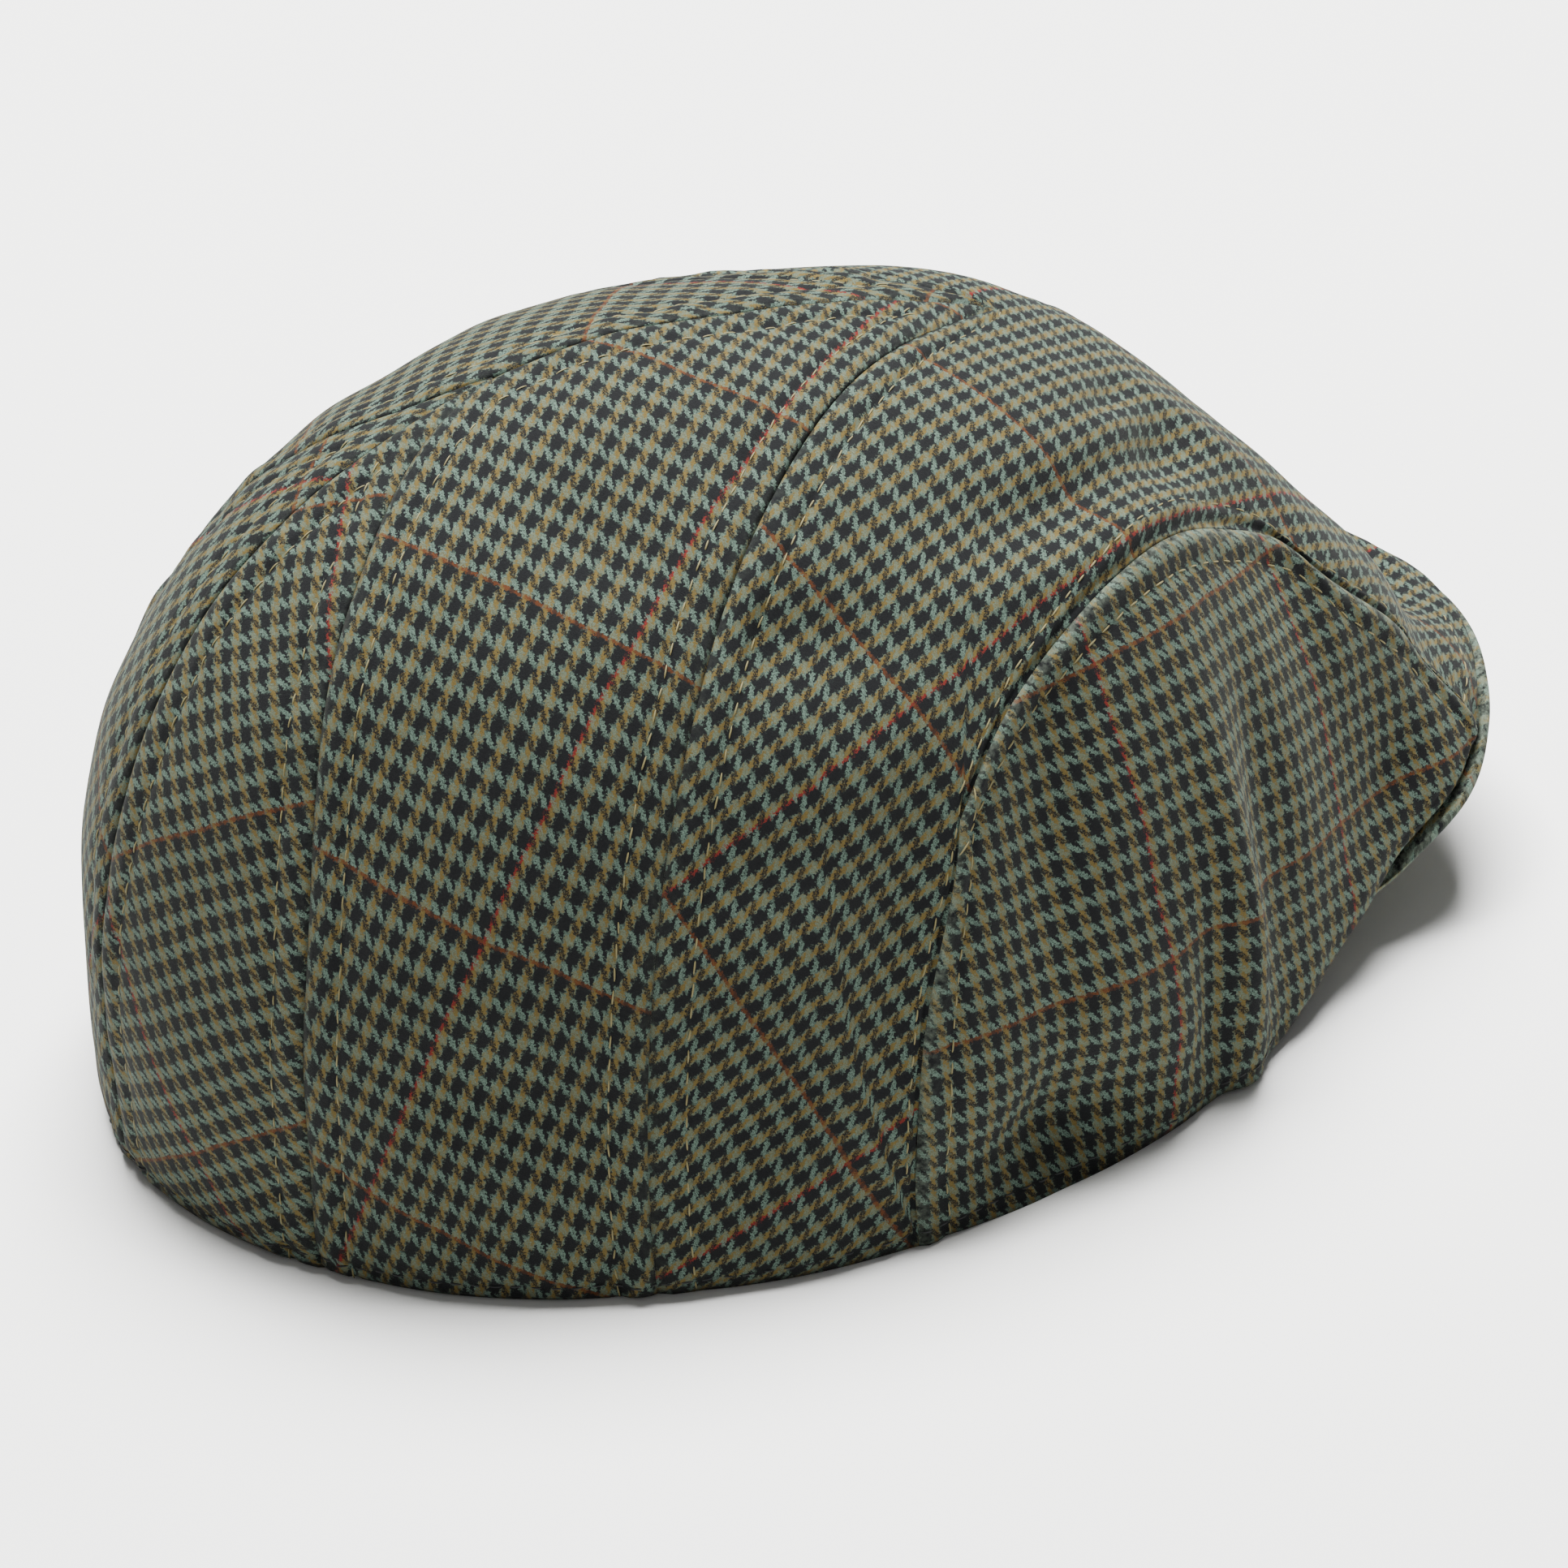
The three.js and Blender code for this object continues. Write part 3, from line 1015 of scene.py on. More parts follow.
def linear(hex_colour: str) -> tuple[float, float, float, float]:
    """Turns an sRGB hex colour into the linear colour that a shader takes.

    Args:
        hex_colour: The colour, as "#rrggbb".

    Returns:
        Red, green, blue and an alpha of one.
    """
    parts = [int(hex_colour[i : i + 2], 16) / 255 for i in (1, 3, 5)]
    made = [p / 12.92 if p <= 0.04045 else ((p + 0.055) / 1.055) ** 2.4 for p in parts]
    return made[0], made[1], made[2], 1.0


Value = float | bpy.types.NodeSocket


@dataclass
class Nodes:
    """Adds nodes to a material's tree and links them as they are made."""

    tree: bpy.types.NodeTree

    def add(
        self, kind: str, settings: dict[str, object] | None = None, **inputs: object
    ) -> bpy.types.Node:
        """Adds one node.

        Args:
            kind: The node's type.
            settings: The node's own properties.
            inputs: Sockets by name, with _ for a space, each a value or another node's socket.

        Returns:
            The new node.
        """
        node = self.tree.nodes.new(kind)
        for key, value in (settings or {}).items():
            setattr(node, key, value)
        for key, value in inputs.items():
            name = key.replace("_", " ").strip()
            socket = node.inputs[int(name)] if name.isdigit() else node.inputs[name]
            if isinstance(value, bpy.types.NodeSocket):
                self.tree.links.new(value, socket)
            else:
                socket.default_value = value
        return node

    def math(self, operation: str, *values: Value) -> bpy.types.NodeSocket:
        """Adds a Math node.

        Args:
            operation: What it does.
            values: Its inputs, in order, each a number or another node's socket.

        Returns:
            Its result.
        """
        node = self.tree.nodes.new("ShaderNodeMath")
        node.operation = operation
        for socket, value in zip(node.inputs, values):
            if isinstance(value, bpy.types.NodeSocket):
                self.tree.links.new(value, socket)
            else:
                socket.default_value = value
        return node.outputs[0]

    def mix(self, share: Value, first: object, second: object) -> bpy.types.NodeSocket:
        """Adds a node that mixes two colours.

        Args:
            share: How much of the second there is, from 0 to 1.
            first: The first colour or socket.
            second: The second.

        Returns:
            The mixed colour.
        """
        node = self.tree.nodes.new("ShaderNodeMix")
        node.data_type = "RGBA"
        for index, value in ((0, share), (6, first), (7, second)):
            if isinstance(value, bpy.types.NodeSocket):
                self.tree.links.new(value, node.inputs[index])
            else:
                node.inputs[index].default_value = value
        return node.outputs[2]

    def noise(self, vector: bpy.types.NodeSocket, scale: float, detail: float = 2.0) -> bpy.types.Node:
        """Adds a Noise Texture node of a scale, in cells per millimetre of the vector."""
        inputs = {"Vector": vector, "Scale": scale, "Detail": detail, "Roughness": 0.55}
        return self.add("ShaderNodeTexNoise", {"noise_dimensions": "3D"}, **inputs)


@dataclass(frozen=True)
class Tweed:
    """Brushed woollen tweed: a houndstooth with ochre middles and a red and rust windowpane.

    Attributes:
        warp: The distance from one warp yarn to the next, in millimetres.
        weft: The distance from one weft yarn to the next.
        red_every: How many warp yarns there are from one red line to the next.
        rust_every: How many weft yarns there are from one rust line to the next.
        float_half: Half of what shows of a warp yarn's float, in weft yarns.
        lean: How far a float leans over for each weft yarn it passes, as a share of a warp yarn.
        dark_half: Half of a dark group's width, in yarns.
        ochre_half: Half of the ochre middle's width, in yarns.
        fray: How far the brushed edges of the yarns wander, in millimetres.
        haze: How much the brushed nap veils the yarns.
        sway: How far the yarns drift from straight over a hand's breadth, in millimetres.
        lean_reach: How far along a float its lean goes on, in weft yarns.
        float_edge: How soft the ends of a float are, in weft yarns.
        group_edge: How soft the edge of a colour's group of yarns is, in yarns.
        line_at: The middle of the windowpane's line in its repeat, in yarns.
        line_half: Half of that line's width, in yarns.
        dark: The charcoal yarns' colour.
        light: The sage yarns' colour.
        ochre: The ochre yarns' colour.
        red: The colour of the windowpane's lines along the warp.
        rust: The colour of its lines along the weft.
        nap: The colour of the brushed fibres over the yarns.
        dust: The pale colour of a rubbed edge.
        name: The material's name.
    """

    warp: float = 0.45
    weft: float = 0.55
    red_every: int = 120
    rust_every: int = 88
    float_half: float = 1.3
    lean: float = -0.36
    dark_half: float = 2.3
    ochre_half: float = 1.4
    fray: float = 1.5
    haze: float = 0.14
    sway: float = 1.6
    lean_reach: float = 1.4
    float_edge: float = 0.5
    group_edge: float = 0.9
    line_at: float = 4.5
    line_half: float = 0.6
    dark: str = "#07090d"
    light: str = "#52655a"
    ochre: str = "#554824"
    red: str = "#5c1915"
    rust: str = "#4d2810"
    nap: str = "#25261c"
    dust: str = "#6a7466"
    name: str = "houndstooth tweed"

    def material(self) -> bpy.types.Material:
        """The cloth's material, made once."""
        made = bpy.data.materials.get(self.name)
        return made or self.make()

    def make(self) -> bpy.types.Material:
        """Builds the material's nodes.

        Returns:
            The new material.
        """
        # Wool spun thick and loose, woven as a 2/2 twill in groups of four yarns and then brushed. The
        # spinning makes each yarn stand up as a round ridge. The brushing lifts fibres over the yarns,
        # which blurs the edges of the checks, dulls the shine to almost none and leaves a soft rim of
        # light where the cloth turns away. Rubbed edges lose that nap and look dusty and paler.
        material = bpy.data.materials.new(self.name)
        material.use_nodes = True
        nodes = Nodes(material.node_tree)
        shader = material.node_tree.nodes["Principled BSDF"]
        colour, height = self.weave(nodes)
        relief = nodes.add("ShaderNodeBump", None, Strength=0.55, Distance=0.00022, Height=height)
        nodes.tree.links.new(colour, shader.inputs["Base Color"])
        nodes.tree.links.new(relief.outputs[0], shader.inputs["Normal"])
        shader.inputs["Roughness"].default_value = 0.92
        shader.inputs["Specular IOR Level"].default_value = 0.18
        shader.inputs["Sheen Weight"].default_value = 0.04
        shader.inputs["Sheen Roughness"].default_value = 0.45
        shader.inputs["Sheen Tint"].default_value = linear("#c9cdbd")
        return material

    def weave(self, nodes: Nodes) -> tuple[bpy.types.NodeSocket, bpy.types.NodeSocket]:
        """The weave's colour and height.

        Args:
            nodes: The tree that takes the nodes.

        Returns:
            The colour's socket, and the height's, from 0 to about 1.
        """
        m = nodes.math
        uv = nodes.add("ShaderNodeUVMap", {"uv_map": "cloth"}).outputs[0]
        cloth = nodes.add("ShaderNodeVectorMath", {"operation": "SCALE"}, _0=uv, Scale=UV_MM).outputs[0]
        drift = nodes.noise(cloth, 0.055, 1.0).outputs["Color"]
        fuzz = nodes.noise(cloth, 2.8, 4.0).outputs["Color"]
        split_cloth = nodes.add("ShaderNodeSeparateXYZ", None, Vector=cloth)
        split_drift = nodes.add("ShaderNodeSeparateXYZ", None, Vector=drift)
        split_fuzz = nodes.add("ShaderNodeSeparateXYZ", None, Vector=fuzz)
        yarns = []
        for axis, pitch in enumerate((self.warp, self.weft)):
            sway = m("MULTIPLY", m("SUBTRACT", split_drift.outputs[axis], 0.5), self.sway)
            fray = m("MULTIPLY", m("SUBTRACT", split_fuzz.outputs[axis], 0.5), self.fray)
            place = m("ADD", m("ADD", split_cloth.outputs[axis], sway), fray)
            yarns.append(m("DIVIDE", place, pitch))
        warp, weft = yarns
        first_at = self.float_place(nodes, warp, weft)
        leaning = m("MINIMUM", m("MAXIMUM", first_at, -self.lean_reach), self.lean_reach)
        warp = m("SUBTRACT", warp, m("MULTIPLY", leaning, self.lean))
        float_at = self.float_place(nodes, warp, weft)
        float_inside = m("SUBTRACT", self.float_half, m("ABSOLUTE", float_at))
        warp_up = self.soft(nodes, float_inside, self.float_edge)
        warp_group = m("PINGPONG", m("SUBTRACT", warp, 2.0), 4.0)
        weft_group = m("PINGPONG", m("SUBTRACT", weft, 2.0), 4.0)
        ochre_inside = m("SUBTRACT", warp_group, 4.0 - self.ochre_half)
        middle = self.soft(nodes, ochre_inside, self.group_edge)
        warp_colour = nodes.mix(middle, linear(self.light), linear(self.ochre))
        warp_dark = self.soft(nodes, m("SUBTRACT", self.dark_half, warp_group), self.group_edge)
        warp_colour = nodes.mix(warp_dark, warp_colour, linear(self.dark))
        red_place = m("FLOORED_MODULO", warp, float(self.red_every))
        red = m("COMPARE", red_place, self.line_at, self.line_half)
        warp_colour = nodes.mix(red, warp_colour, linear(self.red))
        weft_colour = nodes.mix(m("MULTIPLY", middle, 0.35), linear(self.light), linear(self.ochre))
        weft_dark = self.soft(nodes, m("SUBTRACT", self.dark_half, weft_group), self.group_edge)
        weft_colour = nodes.mix(weft_dark, weft_colour, linear(self.dark))
        rust_place = m("FLOORED_MODULO", weft, float(self.rust_every))
        rust = m("COMPARE", rust_place, self.line_at, self.line_half)
        weft_colour = nodes.mix(rust, weft_colour, linear(self.rust))
        warp_up = m("MULTIPLY", warp_up, m("SUBTRACT", 1.0, m("MULTIPLY", rust, 0.35)))
        colour = nodes.mix(warp_up, weft_colour, warp_colour)
        warp_round = self.round(nodes, m("FRACT", warp), m("ADD", m("DIVIDE", float_at, 3.2), 0.5))
        weft_round = self.round(nodes, m("FRACT", weft), 0.5)
        yarn_height = nodes.mix(warp_up, m("MULTIPLY", weft_round, 0.7), warp_round)
        fibres = nodes.noise(cloth, 6.0, 3.0).outputs[0]
        tufts = nodes.noise(cloth, 2.2, 2.0).outputs[0]
        # Painted shade: the colour is made darker where the weave is low, in the valleys between the
        # yarns. The fibre, tuft and tone factors after it only vary the colour at random.
        shade = m("ADD", 0.72, m("MULTIPLY", yarn_height, 0.34))
        shade = m("MULTIPLY", shade, m("ADD", 0.35, m("MULTIPLY", fibres, 1.3)))
        shade = m("MULTIPLY", shade, m("ADD", 0.7, m("MULTIPLY", tufts, 0.6)))
        napped = nodes.mix(m("MULTIPLY", tufts, self.haze), colour, linear(self.nap))
        worn = nodes.add("ShaderNodeAttribute", {"attribute_name": "worn"}).outputs["Fac"]
        patch = nodes.noise(cloth, 0.9, 4.0).outputs[0]
        rubbed = m("MULTIPLY", worn, m("MULTIPLY", m("SUBTRACT", patch, 0.38), 2.2))
        rubbed = m("MINIMUM", m("MAXIMUM", rubbed, 0.0), 0.6)
        napped = nodes.mix(rubbed, napped, linear(self.dust))
        tone = nodes.noise(cloth, 0.03, 2.0).outputs[0]
        shade = m("MULTIPLY", shade, m("ADD", 0.85, m("MULTIPLY", tone, 0.3)))
        scaled = nodes.add("ShaderNodeVectorMath", {"operation": "SCALE"}, _0=napped, Scale=shade)
        height = m("ADD", m("MULTIPLY", yarn_height, 0.45), m("MULTIPLY", fibres, 0.55))
        return scaled.outputs[0], height

    @staticmethod
    def float_place(
        nodes: Nodes, warp: bpy.types.NodeSocket, weft: bpy.types.NodeSocket
    ) -> bpy.types.NodeSocket:
        """How far up its float a warp yarn is. Each yarn's floats are a step lower than the last one's.

        Args:
            nodes: The tree that takes the nodes.
            warp: The place across the warp, in yarns.
            weft: The place across the weft, in yarns.

        Returns:
            The place on the float, from -2 to 2, in weft yarns.
        """
        m = nodes.math
        turn = m("FLOORED_MODULO", m("ADD", m("ADD", weft, m("FLOOR", warp)), 1.0), 4.0)
        return m("SUBTRACT", turn, 2.0)

    @staticmethod
    def soft(nodes: Nodes, inside: bpy.types.NodeSocket, width: float) -> bpy.types.NodeSocket:
        """Turns a distance inside an edge into a share, over a width round the edge.

        Args:
            nodes: The tree that takes the nodes.
            inside: The distance, above 0 inside the edge.
            width: The width over which the share grows.

        Returns:
            The share, from 0 outside to 1 inside.
        """
        share = nodes.math("MULTIPLY_ADD", inside, 1 / width, 0.5)
        return nodes.math("MINIMUM", nodes.math("MAXIMUM", share, 0.0), 1.0)

    @staticmethod
    def round(nodes: Nodes, across: bpy.types.NodeSocket, along: "Value") -> bpy.types.NodeSocket:
        """The height of a yarn where it floats on top: round across, and arched along its float.

        Args:
            nodes: The tree that takes the nodes.
            across: The place across the yarn, from 0 to 1.
            along: The place along its float, from 0 to 1.

        Returns:
            The height, from 0 at the yarn's edges to 1 on top.
        """
        m = nodes.math
        width = m("MULTIPLY", m("MULTIPLY", across, m("SUBTRACT", 1.0, across)), 4.0)
        arch = m("MULTIPLY", m("MULTIPLY", along, m("SUBTRACT", 1.0, along)), 4.0)
        square = m("MULTIPLY", width, m("ADD", 0.4, m("MULTIPLY", arch, 0.6)))
        return m("SQRT", m("MAXIMUM", square, 0.0))


@dataclass(frozen=True)
class Thread:
    """Spun sewing thread."""

    name: str
    colour: str

    def material(self) -> bpy.types.Material:
        """The thread's material, made once.

        Returns:
            The material.
        """
        # Fibres spun and twisted to a matt sewing thread. The twist shows as fine light and dark flecks
        # along each stitch, and the spun surface leaves it without gloss.
        made = bpy.data.materials.get(self.name)
        if made:
            return made
        material = bpy.data.materials.new(self.name)
        material.use_nodes = True
        nodes = Nodes(material.node_tree)
        shader = material.node_tree.nodes["Principled BSDF"]
        place = nodes.add("ShaderNodeTexCoord").outputs["Object"]
        wisps = nodes.noise(place, 9000.0, 2.0).outputs[0]
        plain = linear(self.colour)
        deep = tuple(x * 0.45 for x in plain[:3]) + (1.0,)
        colour = nodes.mix(wisps, deep, plain)
        relief = nodes.add("ShaderNodeBump", None, Strength=0.6, Distance=0.00005, Height=wisps)
        nodes.tree.links.new(colour, shader.inputs["Base Color"])
        nodes.tree.links.new(relief.outputs[0], shader.inputs["Normal"])
        shader.inputs["Roughness"].default_value = 0.7
        return material


# ---------------------------------------------------------------- sewing


LOOK_AHEAD = 0.4  # a stitch points at the place this much further along its line
HEM_STITCH = {"pitch": 3.2, "length": 2.3, "thickness": 0.34}  # the hem's thread is thicker and closer


@dataclass
class Line:
    """A line on the cloth: points in millimetres and the cloth's normals there."""

    points: Array
    normals: Array

    def spaced(self, pitch: float) -> tuple[Array, Array, Array]:
        """Places at an even pitch along the line.

        Args:
            pitch: The distance between places, in millimetres.

        Returns:
            Points, directions along the line, and normals.
        """
        run = np.concatenate([[0], np.cumsum(np.linalg.norm(np.diff(self.points, axis=0), axis=-1))])
        at = np.arange(pitch / 2, run[-1], pitch)
        points, normals, ahead = (
            np.stack([np.interp(x, run, source[:, k]) for k in range(3)], -1)
            for x, source in ((at, self.points), (at, self.normals), (at + LOOK_AHEAD, self.points))
        )
        return points, unit(ahead - points), unit(normals)


@dataclass
class Stitching:
    """One row of stitches, sunk in the nap.

    Attributes:
        name: The piece's name.
        line: The line that it follows.
        thread: What it is sewn with.
        pitch: The distance from stitch to stitch.
        length: How much of each stitch shows.
        thickness: The thread's thickness.
        seed: The seed of the small differences between stitches.
    """

    name: str
    line: Line
    thread: Thread
    pitch: float = 3.6
    length: float = 2.5
    thickness: float = 0.3
    seed: int = 1

    def build(self) -> bpy.types.Object:
        """Makes the row as one piece, from copies of one stitch.

        Returns:
            The finished piece.
        """
        shape, faces = one_stitch()
        points, along, out = self.line.spaced(self.pitch)
        rng = np.random.default_rng(self.seed)
        across = unit(np.cross(out, along))
        turn = np.radians(rng.normal(0, 4, len(points)))[:, None]
        along = unit(along * np.cos(turn) + across * np.sin(turn))
        across = unit(np.cross(out, along))
        length = self.length * rng.uniform(0.85, 1.1, len(points))
        thick = np.full_like(length, self.thickness)
        sizes = np.stack([length, thick, thick], -1)
        sized = shape[None] * sizes[:, None]
        bowed = sized[..., 2] - (np.abs(shape[None, :, 0]) * 2) ** 3 * self.thickness * 0.9
        made = (
            (points + out * rng.uniform(0.02, 0.12, (len(points), 1)))[:, None]
            + sized[..., :1] * along[:, None]
            + sized[..., 1:2] * across[:, None]
            + bowed[..., None] * out[:, None]
        )
        numbers = (faces[None] + np.arange(len(points))[:, None, None] * len(shape)).reshape(-1, 4)
        mesh = bpy.data.meshes.new(self.name)
        corners = [list(dict.fromkeys(face)) for face in numbers.tolist()]
        mesh.from_pydata((made.reshape(-1, 3) * MM).tolist(), [], corners)
        mesh.polygons.foreach_set("use_smooth", np.ones(len(mesh.polygons), bool))
        mesh.materials.append(self.thread.material())
        piece = bpy.data.objects.new(self.name, mesh)
        bpy.context.scene.collection.objects.link(piece)
        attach(piece, "root")
        LOG.info("%s: %d stitches", self.name, len(points))
        return piece


def one_stitch() -> tuple[Array, Array]:
    """Models one stitch, a thread's short bulge, one unit long and thick.

    Returns:
        Its points, and its faces as four point numbers each, where a triangle repeats its last.
    """
    bpy.ops.object.select_all(action="DESELECT")
    lying = (0, math.pi / 2, 0)
    bpy.ops.mesh.primitive_uv_sphere_add(segments=6, ring_count=6, radius=0.5, rotation=lying)
    ball = bpy.context.active_object
    bpy.ops.object.transform_apply(location=True, rotation=True, scale=True)
    points = np.array([v.co[:] for v in ball.data.vertices])
    faces = np.array([(list(p.vertices) + [p.vertices[-1]])[:4] for p in ball.data.polygons])
    bpy.data.objects.remove(ball)
    return points, faces


# ---------------------------------------------------------------- the peak


@dataclass(frozen=True)
class PeakRow:
    """The board behind and beyond the crown's edge at an angle."""

    angle: float
    behind: float
    beyond: float


@dataclass
class Peak:
    """The peak: a stiff board in its cloth, under the front panel and the temples, with a lip.

    Attributes:
        rows: How far it reaches behind and beyond the crown's edge.
        first: The angle of its right end; the left end mirrors it.
        board: Its thickness with its cloth.
        below: The clear space between it and the crown's edge.
        tuck: How far its top is pressed down under the front panel.
        tuck_from: How far beyond the crown's edge the pressing starts.
        tuck_over: The distance over which it reaches its depth.
        level: How far behind the edge the board stays level before it rises.
        rise: How steeply it rises behind that.
        edge_round: How far in from its border its edge is rounded.
        rubbed_at: How far from the lip's border its nap is rubbed most.
        rubbed_width: The rubbed strip's half width.
        cloth_shift: How far its cloth is shifted along the windowpane.
        columns: Steps round the cap.
        steps: Steps from the lip to the back.
    """

    rows: tuple[PeakRow, ...] = (
        PeakRow(112, 8, -3.4),
        PeakRow(122, 13, -3),
        PeakRow(127, 15.5, -1.4),
        PeakRow(131, 17.5, 0.5),
        PeakRow(141, 23, 1.3),
        PeakRow(152, 27, 1.4),
        PeakRow(160, 31, 1.2),
        PeakRow(168, 35, 0.8),
        PeakRow(180, 38, 0.6),
    )
    first: float = 112
    board: float = 3.4
    below: float = 0.45
    tuck: float = 1.2
    tuck_from: float = 1.2
    tuck_over: float = 1.6
    level: float = 6
    rise: float = 0.12
    edge_round: float = 2.2
    rubbed_at: float = 0.8
    rubbed_width: float = 1.6
    cloth_shift: float = 8.0
    columns: int = 190
    steps: int = 60

    def faces(self) -> tuple[Array, Array, Array, Array]:
        """The board's shape.

        Returns:
            Its middle surface, half its thickness, how worn it is, and how far its top is pressed down.
        """
        angle = np.linspace(self.first, 360 - self.first, self.columns + 1)
        share = (1 - np.cos(np.linspace(0, math.pi, self.steps + 1))) / 2
        angle, share = np.meshgrid(angle, share, indexing="ij")
        at = CROWN.folded(angle)
        rows = list(self.rows)
        behind, beyond = (between(rows, "angle", k, at) for k in ("behind", "beyond"))
        reach = beyond - share * (beyond + behind)
        middle = CROWN.edge(angle) + CROWN.outward(angle) * reach[..., None]
        middle[..., 2] -= self.below + self.rise * np.minimum(reach + self.level, 0) + self.board / 2
        middle[..., 2] += Ripple(30, 0.2, 5).at(middle)
        run = {a: CrownPanel.away(middle, a, False) for a in (0, 1)}
        back = {a: CrownPanel.away(middle, a, True) for a in (0, 1)}
        rim = np.minimum.reduce([run[0], back[0], run[1], back[1]])
        inside = np.clip(1 - rim / self.edge_round, 0, 1)
        half = self.board / 2 * np.sqrt(1 - inside**2)
        worn = np.exp(-(((run[1] - self.rubbed_at) / self.rubbed_width) ** 2))
        tucked = self.tuck * np.clip((self.tuck_from - reach) / self.tuck_over, 0, 1)
        return middle, half, worn, tucked

    def build(self, finish: Tweed) -> bpy.types.Object:
        """Makes the peak's closed mesh and dresses it.

        Args:
            finish: The tweed that it is covered with.

        Returns:
            The finished piece.
        """
        middle, half, worn, tucked = self.faces()
        up = np.array([0, 0, 1.0])
        top, under = (middle + up * (half * k)[..., None] for k in (1, -1))
        top[..., 2] -= np.minimum(tucked, half)
        cloth = top[..., :2] + np.array([0, self.cloth_shift])
        sides = ((top, False), (under, True))
        covers = [grid_mesh("peak_cover", face, cloth, worn, facing) for face, facing in sides]
        select_only(covers[0])
        covers[1].select_set(True)
        bpy.ops.object.join()
        bpy.ops.object.mode_set(mode="EDIT")
        bpy.ops.mesh.select_all(action="SELECT")
        bpy.ops.mesh.remove_doubles(threshold=MERGE_M)
        bpy.ops.mesh.normals_make_consistent(inside=False)
        bpy.ops.object.mode_set(mode="OBJECT")
        piece = covers[0]
        piece.name = "peak_tweed"
        piece.data.materials.append(finish.material())
        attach(piece, "root")
        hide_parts("peak")
        LOG.info("peak: %d points", len(piece.data.vertices))
        return piece


# ---------------------------------------------------------------- the cap


# Where rows of stitches begin and end, as shares of a piece's foot. The rows beside the temple seams
# run on round the bill's edge, and stop short of its middle. The hem's rows stop at the bill.
TEMPLE_ROWS = {"right": (0.055, 0.47), "left": (0.53, 0.945)}
HEM_ROWS = {"rear_gore": (0, 1), "side_gore": (0, 1), "temple_panel": (0, 0.45)}
FRONT_HEM_ROWS = {"right": (0, 0.05), "left": (0.95, 1)}
TEMPLE_SEED, HEM_SEED, FRONT_HEM_SEED = 40, 70, 77  # the seeds of these rows' small differences


@dataclass
class Cap:
    """The whole cap: eight pieces of tweed and the stitching that holds them.

    Attributes:
        tweed: The cloth of every piece.
        topstitch: The thread beside the seams.
        hem_thread: The thread along the rim.
        coarse: How many steps of a panel's grid one step of its flat pattern takes.
    """

    tweed: Tweed = field(default_factory=Tweed)
    topstitch: Thread = field(default_factory=lambda: Thread("khaki topstitch thread", "#7a7146"))
    hem_thread: Thread = field(default_factory=lambda: Thread("charcoal hem thread", "#17191a"))
    coarse: int = 4

    def panels(self) -> dict[str, CrownPanel]:
        """Lays out the crown's panels.

        Returns:
            The panels by their pieces' names.
        """
        plain, over, rim, point = Join.PLAIN, Join.OVER, Join.RIM, Join.POINT
        front = {"left": plain, "right": plain, "foot": Join.UNDER, "top": point}
        gore = {"left": plain, "right": plain, "foot": rim, "top": point}
        temple = {"left": over, "right": point, "foot": rim, "top": over}
        front_grain = Grain((119, 0.562), (48, 0.496), (83.5, 0.562), (45.5, 0.6))
        rear_grain = Grain((12.8, 0.38), (3.9, 0.5), (9.5, 0.45), (8.5, 0.288))
        side_grain = Grain((20, 0.1), (27.5, 0.57), (27, 0.45), (24.5, 0.542))
        temple_grain = Grain((77.5, 0.08), (76.5, 0.36), (76.5, 0.25), (80, 0.47))
        made: list[CrownPanel] = [
            FrontPanel("front_panel", Side.RIGHT, 416, 84, self.coarse, front_grain, front)
        ]
        for side in Side:
            made += [
                RearGore("rear_gore", side, 40, 120, self.coarse, rear_grain, gore),
                SideGore("side_gore", side, 48, 176, self.coarse, side_grain, gore),
                TemplePanel("temple_panel", side, 132, 56, self.coarse, temple_grain, temple),
            ]
        return {panel.title: panel for panel in made}

    def sew(self, panels: dict[str, CrownPanel]) -> None:
        """Adds the rows of stitches along the seams and the rim.

        Args:
            panels: The panels by their pieces' names, built.
        """
        plain, over, under, hem = (
            SEAM_SHAPES[join].stitch_at for join in (Join.PLAIN, Join.OVER, Join.UNDER, Join.RIM)
        )
        rows = [("front_panel", border, plain) for border in ("left", "right")]
        rows += [("front_panel", "foot", under)]
        for side in Side:
            word = side.word
            rows += [(f"rear_gore_{word}", border, plain) for border in ("left", "right")]
            rows += [(f"side_gore_{word}", border, plain) for border in ("left", "right")]
            rows += [(f"temple_panel_{word}", border, over) for border in ("left", "top")]
        for seed, (title, border, away) in enumerate(rows):
            panel = panels[title]
            if title == "front_panel" and border == "foot":
                for word, (first, last) in TEMPLE_ROWS.items():
                    line = panel.line("foot", away, first, last)
                    name = f"topstitch_{title}_{word}_temple"
                    Stitching(name, line, self.topstitch, seed=seed + TEMPLE_SEED).build()
                continue
            line, name = panel.line(border, away), f"topstitch_{title}_{border}"
            Stitching(name, line, self.topstitch, seed=seed).build()
        for side in Side:
            for seed, (name, (first, last)) in enumerate(HEM_ROWS.items()):
                line = panels[f"{name}_{side.word}"].line("foot", hem, first, last)
                title = f"hem_stitch_{name}_{side.word}"
                Stitching(title, line, self.hem_thread, **HEM_STITCH, seed=seed + HEM_SEED).build()
        for word, (first, last) in FRONT_HEM_ROWS.items():
            line = panels["front_panel"].line("foot", hem, first, last)
            title = f"hem_stitch_front_{word}"
            Stitching(title, line, self.hem_thread, **HEM_STITCH, seed=FRONT_HEM_SEED).build()

    def build(self) -> None:
        """Builds every piece in order."""
        panels = self.panels()
        for panel in panels.values():
            panel.build(self.tweed)
        Peak().build(self.tweed)
        self.sew(panels)


# ---------------------------------------------------------------- the studio


